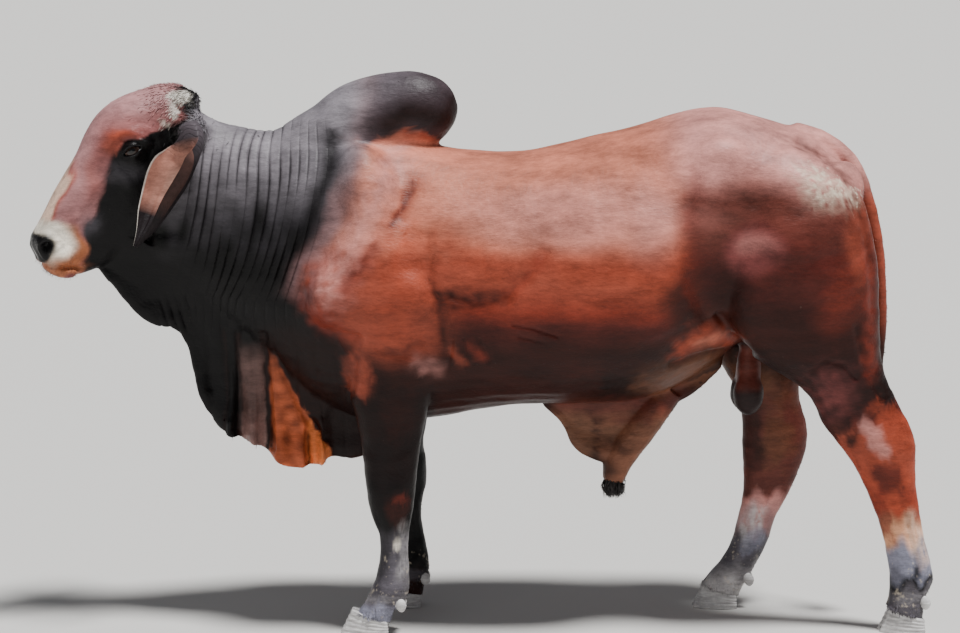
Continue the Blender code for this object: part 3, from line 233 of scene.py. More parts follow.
HIND_FAR = [
    (1.270, 0.630, 0.940, 0.120, 0.100),
    (1.180, 0.600, 0.985, 0.145, 0.120),
    (1.080, 0.580, 0.998, 0.158, 0.130),
    (0.980, 0.568, 0.990, 0.162, 0.128),
    (0.890, 0.566, 0.968, 0.162, 0.120),
    (0.810, 0.582, 0.936, 0.158, 0.104),
    (0.745, 0.612, 0.906, 0.155, 0.088),
    (0.700, 0.640, 0.886, 0.152, 0.076),
    (0.655, 0.668, 0.872, 0.150, 0.064),
    (0.610, 0.690, 0.868, 0.150, 0.055),
    (0.565, 0.704, 0.876, 0.150, 0.050),
    (0.525, 0.709, 0.888, 0.150, 0.048),
    (0.480, 0.709, 0.893, 0.150, 0.047),
    (0.430, 0.710, 0.886, 0.150, 0.043),
    (0.372, 0.712, 0.864, 0.150, 0.038),
    (0.310, 0.710, 0.836, 0.150, 0.035),
    (0.250, 0.698, 0.806, 0.150, 0.034),
    (0.190, 0.682, 0.786, 0.150, 0.036),
    (0.140, 0.656, 0.764, 0.150, 0.044),
    (0.095, 0.620, 0.742, 0.150, 0.047),
    (0.060, 0.596, 0.720, 0.150, 0.050),
    (0.010, 0.574, 0.696, 0.150, 0.052),
]
SOLES = {
    "fore_left": (-0.3340, -0.168, 0.134),
    "fore_right": (-0.2530, 0.160, 0.134),
    "hind_left": (1.1180, -0.140, 0.128),
    "hind_right": (0.6360, 0.150, 0.128),
}
LIMB_ROWS = {"fore_left": FORE_NEAR, "fore_right": FORE_FAR, "hind_left": HIND_NEAR, "hind_right": HIND_FAR}

# The hanging skin from chin to brisket: root point, free edge point, each along, across and up,
# and half thickness of the edge.
DEWLAP = [
    (-1.020, -0.082, 1.022, -1.048, -0.086, 0.981, 0.020),
    (-0.985, -0.075, 1.060, -1.004, -0.078, 0.917, 0.018),
    (-0.930, -0.065, 1.060, -0.952, -0.068, 0.850, 0.016),
    (-0.870, -0.055, 1.020, -0.897, -0.055, 0.815, 0.016),
    (-0.820, -0.045, 0.960, -0.847, -0.050, 0.808, 0.016),
    (-0.785, -0.040, 0.920, -0.821, -0.038, 0.757, 0.014),
    (-0.760, -0.034, 0.890, -0.806, -0.028, 0.690, 0.013),
    (-0.735, -0.028, 0.870, -0.786, -0.044, 0.615, 0.013),
    (-0.710, -0.024, 0.850, -0.746, -0.018, 0.546, 0.014),
    (-0.685, -0.020, 0.830, -0.706, -0.050, 0.511, 0.015),
    (-0.660, -0.016, 0.800, -0.672, -0.008, 0.501, 0.014),
    (-0.635, -0.012, 0.780, -0.640, -0.054, 0.489, 0.015),
    (-0.610, -0.010, 0.760, -0.608, -0.006, 0.472, 0.014),
    (-0.580, -0.008, 0.740, -0.572, -0.056, 0.439, 0.016),
    (-0.545, -0.004, 0.720, -0.530, -0.042, 0.427, 0.016),
    (-0.510, 0.000, 0.700, -0.495, -0.050, 0.428, 0.016),
    (-0.485, 0.000, 0.690, -0.472, -0.010, 0.431, 0.014),
    (-0.460, 0.000, 0.690, -0.448, -0.044, 0.434, 0.016),
    (-0.430, 0.000, 0.680, -0.426, -0.004, 0.453, 0.016),
    (-0.370, 0.000, 0.660, -0.370, -0.002, 0.447, 0.020),
    (-0.300, 0.000, 0.660, -0.300, 0.000, 0.470, 0.024),
    (-0.220, 0.000, 0.660, -0.210, 0.000, 0.540, 0.030),
]
# The hanging skin of the belly, from the navel to the groin, in the same way.
SHEATH = [
    (0.130, 0.000, 0.660, 0.150, 0.000, 0.592, 0.022),
    (0.190, 0.000, 0.660, 0.200, 0.000, 0.545, 0.018),
    (0.240, 0.000, 0.660, 0.232, -0.004, 0.482, 0.018),
    (0.290, 0.000, 0.660, 0.285, -0.008, 0.446, 0.020),
    (0.350, 0.000, 0.670, 0.340, -0.004, 0.440, 0.022),
    (0.410, 0.000, 0.680, 0.405, 0.000, 0.500, 0.018),
    (0.480, 0.000, 0.700, 0.480, 0.000, 0.578, 0.018),
    (0.560, 0.000, 0.730, 0.560, 0.000, 0.625, 0.022),
    (0.640, 0.000, 0.780, 0.640, 0.000, 0.700, 0.026),
]
SHEATH_TUBE = [
    (0.500, 0.0, 0.640, 0.040),
    (0.440, 0.0, 0.560, 0.044),
    (0.380, 0.0, 0.485, 0.046),
    (0.352, 0.0, 0.430, 0.040),
    (0.344, 0.0, 0.385, 0.030),
]
SCROTUM = [
    ((0.712, 0.004, 0.690), (0.038, 0.045, 0.080), 0.0),
    ((0.710, -0.022, 0.630), (0.043, 0.036, 0.060), 4.0),
    ((0.706, 0.028, 0.632), (0.043, 0.036, 0.058), 4.0),
]

# The tail: middle of each section and its half sizes fore and aft and to the side.
TAIL = [
    (0.820, 0.000, 1.335, 0.040, 0.052),
    (0.880, 0.000, 1.322, 0.034, 0.044),
    (0.930, -0.002, 1.297, 0.031, 0.036),
    (0.972, -0.004, 1.262, 0.028, 0.031),
    (1.003, -0.005, 1.212, 0.026, 0.028),
    (1.026, -0.004, 1.145, 0.024, 0.026),
    (1.047, -0.002, 1.065, 0.021, 0.023),
    (1.062, 0.000, 0.980, 0.019, 0.020),
    (1.069, 0.004, 0.895, 0.017, 0.018),
    (1.070, 0.008, 0.810, 0.016, 0.017),
    (1.068, 0.012, 0.735, 0.016, 0.017),
    (1.064, 0.014, 0.690, 0.018, 0.019),
]
DEWCLAW_X = {"fore_left": -0.236, "fore_right": -0.178, "hind_left": 1.178, "hind_right": 0.730}

# An ear from its root to its tip: forward, left, height of the middle, width, depth of the cup.
EAR = [
    (0.028, 0.1225, 1.345, 0.076, 0.000),
    (0.046, 0.148, 1.328, 0.098, 0.022),
    (0.074, 0.168, 1.292, 0.124, 0.044),
    (0.104, 0.176, 1.248, 0.132, 0.054),
    (0.128, 0.178, 1.200, 0.118, 0.050),
    (0.147, 0.178, 1.154, 0.094, 0.038),
    (0.163, 0.176, 1.112, 0.064, 0.024),
    (0.179, 0.173, 1.078, 0.034, 0.010),
    (0.191, 0.170, 1.054, 0.010, 0.002),
]

# Masses on each side of the head: place as forward, left and height, half sizes and turn.
HEAD_MASSES = [
    ((0.160, 0.078, 1.334), (0.050, 0.036, 0.026), 26.0),
    ((0.176, 0.074, 1.298), (0.046, 0.038, 0.040), 30.0),
    ((0.095, 0.060, 1.165), (0.080, 0.036, 0.085), 30.0),
    ((0.205, 0.050, 1.240), (0.070, 0.034, 0.040), 50.0),
    ((0.402, 0.044, 1.060), (0.032, 0.028, 0.036), 10.0),
    ((0.372, 0.036, 1.030), (0.044, 0.032, 0.036), 20.0),
    ((0.362, 0.022, 0.982), (0.044, 0.028, 0.020), 14.0),
    ((0.030, 0.046, 1.424), (0.050, 0.038, 0.040), 10.0),
    ((0.024, 0.084, 1.350), (0.052, 0.056, 0.058), 0.0),
    ((-0.020, 0.050, 1.130), (0.085, 0.052, 0.110), 25.0),
    ((0.055, 0.040, 1.050), (0.075, 0.052, 0.055), 25.0),
]


def select_only(*pieces):
    """Select just these objects and make the first one active."""
    bpy.ops.object.select_all(action="DESELECT")
    for piece in pieces:
        piece.select_set(True)
    bpy.context.view_layer.objects.active = pieces[0]


def mesh_object(name, points, faces):
    """An object from points and faces, with its faces turned outwards."""
    mesh = bpy.data.meshes.new(name)
    mesh.from_pydata([tuple(point) for point in points], [], faces)
    made = bpy.data.objects.new(name, mesh)
    bpy.context.scene.collection.objects.link(made)
    select_only(made)
    bpy.ops.object.mode_set(mode="EDIT")
    bpy.ops.mesh.select_all(action="SELECT")
    bpy.ops.mesh.normals_make_consistent(inside=False)
    bpy.ops.object.mode_set(mode="OBJECT")
    return made


def apply_modifier(piece, kind, **values):
    """Add a modifier with these values and apply it."""
    modifier = piece.modifiers.new(kind.lower(), kind)
    for name, value in values.items():
        setattr(modifier, name, value)
    select_only(piece)
    bpy.ops.object.modifier_apply(modifier=modifier.name)


def smooth_rows(rows, steps):
    """Rows between the named ones, every number on a smooth curve through its named values."""
    rows = [tuple(row) for row in rows]
    filled = []
    for index in range(len(rows) - 1):
        before = rows[max(index - 1, 0)]
        start, end = rows[index], rows[index + 1]
        after = rows[min(index + 2, len(rows) - 1)]
        for step in range(steps):
            t = step / steps
            filled.append(tuple(
                0.5 * (2 * b + (c - a) * t + (2 * a - 5 * b + 4 * c - d) * t ** 2
                       + (3 * b - a - 3 * c + d) * t ** 3)
                for a, b, c, d in zip(before, start, end, after)))
    filled.append(rows[-1])
    return filled


def power_wave(value, power):
    """A sine or cosine made fuller by its power."""
    return math.copysign(abs(value) ** (2.0 / power), value)


def section(front, back, side, half_front, half_back, widest, full_front, full_back, sides=40):
    """One closed ring between two end points, with its own width and fullness to each end."""
    middle = back.lerp(front, widest)
    ring = []
    for index in range(sides):
        angle = 2 * math.pi * index / sides
        along, across = math.cos(angle), math.sin(angle)
        end, full = (front, full_front) if along > 0 else (back, full_back)
        share = abs(power_wave(along, full))
        half = half_front if along > 0 else half_back
        mean = (half_front + half_back) / 2
        width = mean + (half - mean) * share
        ring.append(middle.lerp(end, share) + side * width * power_wave(across, full))
    return ring


def loft(name, rings):
    """A closed skin over a row of rings that all have the same number of points."""
    count = len(rings[0])
    points = [point for ring in rings for point in ring]
    faces = []
    for row in range(len(rings) - 1):
        for index in range(count):
            after = (index + 1) % count
            faces.append((row * count + index, row * count + after,
                          (row + 1) * count + after, (row + 1) * count + index))
    faces.append(tuple(range(count)))
    faces.append(tuple(range((len(rings) - 1) * count, len(rings) * count)))
    return mesh_object(name, points, faces)


def lobe(name, centre, half_sizes, turn, segments=32, rings=20):
    """A rounded mass, turned about the Y axis by so many degrees."""
    bpy.ops.mesh.primitive_uv_sphere_add(segments=segments, ring_count=rings, radius=1.0)
    made = bpy.context.object
    made.name = name
    place = Matrix.Translation(centre) @ Matrix.Rotation(math.radians(turn), 4, "Y")
    made.data.transform(place @ Matrix.Diagonal((*half_sizes, 1.0)))
    return made


def head_point(forward, left, height):
    """A place on the turned head."""
    cos_turn, sin_turn = math.cos(HEAD_TURN), math.sin(HEAD_TURN)
    return Vector((POLL.x - forward * cos_turn + left * sin_turn,
                   POLL.y - forward * sin_turn - left * cos_turn, height))


def head_direction(forward, left, up):
    """A direction on the turned head, one unit long."""
    return (head_point(forward, left, up) - head_point(0.0, 0.0, 0.0)).normalized()


def skin_sheet(name, rows, root_half):
    """Loose skin that hangs from a root line to a rounded free edge, and folds from side to side."""
    rings = []
    for row in smooth_rows(rows, 4):
        root, edge, half = Vector(row[:3]), Vector(row[3:6]), row[6]
        ring = []
        for share, swell in ((0.0, 1.0), (0.35, 0.8), (0.65, 0.75), (0.86, 1.0), (0.97, 0.7)):
            middle = root.lerp(edge, share)
            middle.y = root.y + (edge.y - root.y) * share ** 1.5
            width = swell * (root_half + (half - root_half) * min(share * 1.6, 1.0))
            ring.append((middle, width))
        left = [point + Vector((0, -width, 0)) for point, width in ring]
        right = [point + Vector((0, width, 0)) for point, width in reversed(ring)]
        rings.append(left + [edge] + right)
    return loft(name, rings)


def tube(name, path):
    """A round form along points that each have a radius."""
    rings = []
    for index, (centre, radius) in enumerate(path):
        ahead = path[min(index + 1, len(path) - 1)][0] - path[max(index - 1, 0)][0]
        across = ahead.cross(SIDE).normalized() * radius
        rings.append(section(centre + across, centre - across, SIDE, radius, radius, 0.5, 2.0, 2.0, 16))
    return loft(name, rings)


def trunk_and_neck():
    """The barrel from the shoulders to the rump, and the neck."""
    rings = [section(Vector((x, 0, top)), Vector((x, 0, under)), SIDE, half, half, widest, upper, lower)
             for x, top, under, half, widest, upper, lower in smooth_rows(TRUNK, 5)]
    forms = [loft("trunk", rings)]
    rings = [section(Vector((crest_x, y, crest_z)), Vector((throat_x, y, throat_z)), SIDE, half, half,
                     widest, 2.0, 2.0)
             for crest_x, crest_z, throat_x, throat_z, y, half, widest in smooth_rows(NECK, 5)]
    return forms + [loft("neck", rings)]


def limb_forms():
    """The four limbs from their muscles to the feet."""
    forms = []
    for tag, rows in LIMB_ROWS.items():
        sign = -1.0 if tag.endswith("left") else 1.0
        rings = [section(Vector((front, sign * y, z)), Vector((rear, sign * y, z)), SIDE, half, half,
                         0.52, 2.1, 2.1, 32)
                 for z, front, rear, y, half in smooth_rows(rows, 5)]
        forms.append(loft(tag, rings))
    return forms


def head_forms():
    """The skull, jaws and muzzle as one loft, with the masses on both sides of it."""
    side = head_direction(0.0, -1.0, 0.0)
    rings = []
    for row in smooth_rows(HEAD, 5):
        top_f, top_z, jaw_f, jaw_z, top_half, jaw_half, widest, flat = row
        rings.append(section(head_point(top_f, 0, top_z), head_point(jaw_f, 0, jaw_z), side,
                             top_half, jaw_half, widest, flat, 2.2))
    forms = [loft("head", rings)]
    for sign in (1.0, -1.0):
        for (forward, left, height), sizes, turn in HEAD_MASSES:
            forms.append(lobe("head_mass", head_point(forward, sign * left, height), sizes, turn))
    return forms


def tail_rings(rows):
    """Rings across the tail, each square to its own stretch."""
    rings = []
    for index, (x, y, z, half_depth, half_side) in enumerate(rows):
        centre = Vector((x, y, z))
        before, after = rows[max(index - 1, 0)], rows[min(index + 1, len(rows) - 1)]
        along = (Vector(after[:3]) - Vector(before[:3])).normalized()
        across = along.cross(SIDE).normalized() * half_depth
        rings.append(section(centre + across, centre - across, SIDE, half_side, half_side, 0.5,
                             2.0, 2.0, 20))
    return rings


def mirrored_lobes(rows):
    """The same rounded masses on both sides of the body."""
    return [lobe("mass", (x, y * sign, z), sizes, turn)
            for (x, y, z), sizes, turn in rows for sign in (-1.0, 1.0)]


def hump_forms():
    """The hump as one swept mass, from the crest of the neck to its overhanging rear."""
    rows = [(*centre, *half, turn) for centre, half, turn in HUMP]
    rows.append((-0.505, 0.0, 1.238, 0.090, 0.122, 0.130, -36.0))
    return [lobe("hump", row[:3], row[3:6], row[6]) for row in smooth_rows(rows, 7)]


def in_trunk(points):
    """Which points belong to the trunk, the neck and the upper limbs, and not to the tail."""
    x, y, z = points.T
    tail = (x > 0.90) & (np.abs(y) < 0.055)
    brisket = (x < -0.42) & (z > 0.56)
    return ((z > 0.66) | brisket) & ~tail & (on_head(points) < 0.5)


def grown_skin(sizes):
    """All the flesh as one closed surface: the forms joined, remeshed and relaxed."""
    forms = trunk_and_neck() + limb_forms() + head_forms()
    forms += hump_forms()
    forms += mirrored_lobes(SHOULDER) + mirrored_lobes(RUMP)
    forms.append(skin_sheet("dewlap", DEWLAP, DEWLAP_ROOT))
    forms.append(skin_sheet("belly_skin", SHEATH, 0.050))
    forms.append(tube("sheath", [(Vector(place), radius) for *place, radius in SHEATH_TUBE]))
    forms += [lobe("scrotum", *row) for row in SCROTUM]
    forms.append(lobe("cord", (0.712, 0.004, 0.760), (0.028, 0.036, 0.070), 0.0))
    forms.append(loft("tail", tail_rings(smooth_rows(TAIL, 5))))
    select_only(*forms)
    bpy.ops.object.join()
    skin = bpy.context.object
    skin.name = "skin"
    apply_modifier(skin, "REMESH", mode="VOXEL", voxel_size=sizes.skin_voxel)
    apply_modifier(skin, "SMOOTH", factor=0.5, iterations=sizes.skin_relax)
    group = skin.vertex_groups.new(name="trunk")
    group.add(np.flatnonzero(in_trunk(read(skin.data, "co"))).tolist(), 1.0, "REPLACE")
    apply_modifier(skin, "SMOOTH", factor=0.5, iterations=sizes.trunk_relax, vertex_group="trunk")
    group = skin.vertex_groups.new(name="withers")
    x, y, z = read(skin.data, "co").T
    soft = ramp(-0.540, -0.470, x) * ramp(-0.215, -0.290, x) * ramp(1.200, 1.250, z) * ramp(1.400, 1.350, z)
    for weight in (0.25, 0.5, 0.75, 1.0):
        group.add(np.flatnonzero(soft > weight - 0.2).tolist(), weight, "REPLACE")
    apply_modifier(skin, "SMOOTH", factor=0.5, iterations=sizes.withers_relax, vertex_group="withers")
    skin.vertex_groups.clear()
    return skin


# Grooves on both flanks: line in picture places, width and depth.
GROOVES = [
    ([(409.7, 193.3), (398.1, 218.3), (372, 248), (345, 286)], 0.026, 0.005),
    ([(425, 237), (427, 279), (437, 300), (443, 332), (445, 356)], 0.019, 0.009),
    ([(676, 370), (714, 362), (752, 362)], 0.009, 0.009),
    ([(304, 300), (320, 330), (354, 340)], 0.018, 0.009),
    ([(356, 342), (352, 360), (348, 400)], 0.012, 0.006),
    ([(378, 352), (400, 358), (420, 344)], 0.014, 0.006),
    ([(452, 296), (475, 302), (505, 298)], 0.020, 0.009),
    ([(545, 252), (528, 275), (508, 292)], 0.016, 0.007),
    ([(446, 372), (452, 344)], 0.007, 0.006),
    ([(466, 368), (464, 340)], 0.006, 0.005),
    ([(488, 364), (480, 340)], 0.006, 0.004),
    ([(513, 324), (535, 328), (558, 336)], 0.005, 0.004),
    ([(520, 336), (545, 342)], 0.005, 0.003),
    ([(694, 172), (688, 220), (692, 275), (712, 322)], 0.028, 0.010),
    ([(734, 194), (752, 203)], 0.026, 0.004),
    ([(724, 222), (748, 228), (770, 223)], 0.016, 0.002),
    ([(724, 320), (740, 342), (754, 360)], 0.012, 0.012),
    ([(780, 262), (808, 264), (836, 256)], 0.030, 0.006),
    ([(806, 144), (829, 159), (853, 181), (867, 220), (876, 262), (880, 310)], 0.013, 0.006),
    ([(818, 376), (830, 364), (850, 368), (864, 384)], 0.008, 0.005),
    ([(862, 330), (872, 372), (892, 404)], 0.010, 0.005),
    ([(792, 160), (806, 172)], 0.012, 0.003),
]
# Folds of the dewlap, seen from the side: points, width and depth.
DEWLAP_FOLDS = [
    ([(-0.677, 0.800), (-0.673, 0.621), (-0.678, 0.514)], 0.010, 0.008),
    ([(-0.606, 0.800), (-0.599, 0.621), (-0.590, 0.487)], 0.012, 0.010),
    ([(-0.491, 0.530), (-0.487, 0.434)], 0.008, 0.007),
    ([(-0.715, 0.809), (-0.709, 0.621), (-0.720, 0.528)], 0.010, 0.006),
    ([(-0.580, 0.750), (-0.540, 0.662), (-0.492, 0.560), (-0.446, 0.505)], 0.011, 0.008),
    ([(-0.760, 0.780), (-0.755, 0.650)], 0.012, 0.004),
    ([(-0.640, 0.760), (-0.638, 0.560)], 0.006, 0.003),
]
# Swellings and hollows on both flanks: centre, half sizes and height.
SWELLINGS = [
    ((0.556, 0.210, 1.275), (0.050, 0.070, 0.045), 0.010),
    ((0.690, 0.240, 1.195), (0.070, 0.080, 0.055), -0.012),
    ((0.480, 0.290, 1.180), (0.080, 0.100, 0.055), -0.009),
    ((0.960, 0.080, 1.255), (0.035, 0.040, 0.035), 0.008),
    ((0.795, 0.280, 1.030), (0.090, 0.090, 0.080), 0.010),
    ((0.700, 0.250, 0.900), (0.060, 0.080, 0.060), 0.006),
    ((-0.450, 0.240, 0.885), (0.050, 0.070, 0.050), 0.012),
    ((-0.330, 0.200, 1.200), (0.040, 0.080, 0.110), 0.008),
    ((-0.215, 0.270, 0.920), (0.085, 0.090, 0.075), 0.009),
    ((-0.330, 0.240, 1.080), (0.060, 0.090, 0.120), 0.006),
    ((-0.135, 0.210, 0.795), (0.030, 0.050, 0.030), 0.008),
    ((0.120, 0.310, 1.000), (0.060, 0.080, 0.040), 0.005),
]
# Ridges and grooves on both sides of the head, forward and height: points, width and height.
FACE_LINES = [
    ([(0.235, 1.262), (0.285, 1.190), (0.325, 1.130)], 0.012, 0.0045),
    ([(0.215, 1.225), (0.262, 1.160), (0.300, 1.095)], 0.012, -0.0040),
    ([(0.150, 1.235), (0.130, 1.160), (0.165, 1.085)], 0.012, -0.0040),
    ([(0.300, 1.080), (0.290, 1.040), (0.300, 1.005)], 0.009, -0.0040),
    ([(0.330, 1.120), (0.316, 1.075), (0.318, 1.030)], 0.010, 0.0035),
    ([(0.110, 1.345), (0.160, 1.362), (0.215, 1.345), (0.245, 1.310)], 0.010, 0.0045),
    ([(0.120, 1.322), (0.160, 1.340), (0.205, 1.328)], 0.006, -0.0040),
    ([(0.232, 1.345), (0.205, 1.420)], 0.014, 0.0030),
]
# Creases round each eye: radius and depth.
EYE_CREASES = [(0.0345, 0.0022), (0.0420, 0.0020), (0.0500, 0.0018), (0.0590, 0.0014)]
# From one upright wrinkle of the neck to the next.
WRINKLE_STEP = 0.0252


def ramp(low, high, value):
    """A smooth step from 0 at low to 1 at high."""
    share = np.clip((value - low) / (high - low), 0.0, 1.0)
    return share * share * (3.0 - 2.0 * share)


def wobble(points, size, seed):
    """A soft random field between about -1 and 1 with waves of the given size."""
    draw = random.Random(seed)
    total = np.zeros(len(points))
    for _ in range(5):
        way = np.array([draw.gauss(0, 1) for _ in range(3)])
        way *= 2 * math.pi / size / np.linalg.norm(way) * draw.uniform(0.7, 1.3)
        total += np.sin(points @ way + draw.uniform(0, 6.28))
    return total / 2.5


def line_field(flat, line, width):
    """How near each flat point is to a broken line: 1 on it, falling to 0 away from it."""
    nearest = np.full(len(flat), 1e9)
    for start, end in zip(line, line[1:]):
        start, way = np.array(start), np.array(end) - np.array(start)
        share = np.clip(((flat - start) @ way) / (way @ way), 0.0, 1.0)
        gap = flat - start - share[:, None] * way
        nearest = np.minimum(nearest, (gap ** 2).sum(1))
    return np.exp(-nearest / width ** 2)


def flank_place(column, row):
    """The x and z, to the millimetre, of a picture place on the near flank."""
    return (round(MIDDLE_X + (column - PHOTO_WIDTH // 2) * FLANK_SCALE, 3),
            round(CAMERA_HEIGHT - (row - LEVEL_ROW) * FLANK_SCALE, 3))


def flank_line(picture):
    """A line of picture places on the near flank."""
    return [flank_place(*spot) for spot in picture]


def flank_size(pixels, digits):
    """A length on the near flank, rounded to so many digits."""
    return round(pixels * FLANK_SCALE, digits)


def near_line(flat, line, width):
    """Which flat points lie in the box round a line."""
    low, high = np.min(line, axis=0) - 3 * width, np.max(line, axis=0) + 3 * width
    return ((flat > low) & (flat < high)).all(1)


def add_lines(lift, flat, rows, weight):
    """Raise the skin along lines, each with its width and height, by the weight of each point."""
    for line, width, height in rows:
        near = near_line(flat, line, width)
        lift[near] += height * line_field(flat[near], line, width) * weight[near]


def leg_places(points, limb, inner, top):
    """Which points belong to this leg, and each point's share from its front to its rear edge."""
    sign = -1.0 if limb.endswith("left") else 1.0
    x, y, z = points.T
    mine = (y * sign > inner) & (z < top) & ((x > 0.3) == limb.startswith("hind"))
    rows = LIMB_ROWS[limb][::-1]
    heights = [row[0] for row in rows]
    front, rear = (np.interp(z, heights, [row[edge] for row in rows]) for edge in (1, 2))
    return mine, (x - front) / (rear - front)


def head_places(points):
    """Each point as forward, left and height on the turned head."""
    cos_turn, sin_turn = math.cos(HEAD_TURN), math.sin(HEAD_TURN)
    dx, dy = points[:, 0] - POLL.x, points[:, 1] - POLL.y
    return np.stack((-dx * cos_turn - dy * sin_turn, dx * sin_turn - dy * cos_turn, points[:, 2]), 1)


def on_head(points):
    """1 on the head, 0 on the neck, with a soft change behind the jaw."""
    border = -0.790 - 0.31 * (1.33 - points[:, 2])
    return ramp(0.000, -0.030, points[:, 0] - border) * ramp(0.930, 0.960, points[:, 2])


def read(mesh, what):
    """The mesh's places or normals as an array."""
    values = np.empty(len(mesh.vertices) * 3, dtype=np.float32)
    mesh.vertices.foreach_get(what, values)
    return values.reshape(-1, 3).astype(np.float64)


def write(mesh, points):
    """Put places back into the mesh."""
    mesh.vertices.foreach_set("co", points.astype(np.float32).ravel())
    mesh.update()


def body_relief(points, normals):
    """How far the muscles, bones and folds of the trunk lift the skin."""
    lift = np.zeros(len(points))
    flat = points[:, (0, 2)]
    flank = ramp(0.040, 0.110, np.abs(points[:, 1]))
    grooves = [(flank_line(picture), width, depth) for picture, width, depth in GROOVES]
    add_lines(lift, flat, grooves, -flank)
    for centre, sizes, height in SWELLINGS:
        gap = (np.stack((points[:, 0], np.abs(points[:, 1]), points[:, 2]), 1) - centre) / sizes
        lift += height * np.exp(-(gap ** 2).sum(1))
    x, z = points[:, 0], points[:, 2]
    ribs = ramp(-0.08, 0.02, x) * ramp(0.48, 0.36, x) * ramp(0.72, 0.86, z) * ramp(1.22, 1.08, z)
    lift += 0.0007 * ribs * np.sin(2 * math.pi * (x + 0.18 * z) / 0.058) * flank
    wavy = np.stack((points[:, 0] * 0.8, points[:, 1], points[:, 2] * 1.5), 1)
    return lift + 0.0014 * wobble(points, 0.16, 3) + 0.0007 * wobble(wavy, 0.060, 4)


def neck_lines(points):
    """Where each point lies across the upright wrinkles of the neck, and how deep they are there."""
    x, z = points[:, 0], points[:, 2]
    drop = np.clip(1.35 - z, 0.0, 0.45)
    along = (x + 0.43 * drop ** 2 + 0.006 * wobble(points, 0.22, 5)) / WRINKLE_STEP
    along = along + 0.42 * wobble(points, 0.30, 6)
    window = ramp(-0.845, -0.790, x) * ramp(-0.400, -0.500, x + 0.10 * (1.35 - z))
    window *= ramp(1.395, 1.330, z) * ramp(0.74, 0.86, z) * (0.45 + 0.55 * ramp(0.90, 1.10, z))
    return along, window * np.clip(0.60 + 0.60 * wobble(points, 0.11, 8), 0.08, 1.2)


def neck_relief(points):
    """Upright wrinkles of the neck and the broader folds of the dewlap."""
    x, z = points[:, 0], points[:, 2]
    along, window = neck_lines(points)
    fold = 1.0 - np.abs(np.sin(math.pi * along))
    lift = -0.0050 * window * fold ** 3 * ramp(0.76, 0.86, z)
    low = ramp(0.900, 0.760, z) * ramp(-0.880, -0.840, x) * ramp(-0.330, -0.400, x)
    drape = 1.0 - np.abs(np.sin(math.pi * (x + 0.05 * z + 0.010 * wobble(points, 0.20, 9)) / 0.060))
    lift -= low * 0.0022 * drape ** 2.5
    flat = points[:, (0, 2)]
    add_lines(lift, flat, DEWLAP_FOLDS, np.where(x < -0.35, -1.0, 0.0))
    throat = ramp(0.930, 0.880, z) * ramp(0.780, 0.830, z) * ramp(-0.900, -0.870, x) * ramp(-0.780, -0.820, x)
    return lift - 0.005 * throat * (1.0 - np.abs(np.sin(math.pi * (x + 0.3 * z) / 0.022))) ** 2


def leg_relief(points):
    """Tendons, joints and pastern folds of the four legs."""
    lift = np.zeros(len(points))
    z = points[:, 2]
    flat = points[:, (0, 2)]
    for limb, rows in LIMB_ROWS.items():
        mine, share = leg_places(points, limb, 0.03, 0.60)
        shank = ramp(0.135, 0.170, z) * ramp(0.40, 0.33, z)
        lift[mine] -= (0.0045 * shank * np.exp(-((share - 0.60) / 0.085) ** 2))[mine]
        lift[mine] += (0.0012 * shank * np.exp(-((share - 0.30) / 0.14) ** 2))[mine]
        folds = ramp(0.140, 0.118, z) * ramp(0.052, 0.070, z) * ramp(0.30, 0.75, share)
        fold = 1 - np.abs(np.sin(math.pi * (z + 0.25 * share * 0.05) / 0.013))
        lift[mine] -= (0.0022 * folds * fold ** 2)[mine]
        middle = abs(SOLES[limb][1])
        cleft = ramp(0.105, 0.080, z) * np.exp(-((np.abs(points[:, 1]) - middle) / 0.007) ** 2)
        lift[mine] -= (0.007 * cleft * np.clip(np.abs(share - 0.5) * 2, 0, 1) ** 2)[mine]
        if limb.startswith("fore"):
            fronts = [row[:2] for row in rows[::-1]]
            knee = [(np.interp(level, *zip(*fronts)) + 0.02, level) for level in (0.36, 0.40, 0.44, 0.48)]
            near = mine & near_line(flat, knee, 0.03)
            lift[near] += 0.003 * line_field(flat[near], knee, 0.030)
    return lift


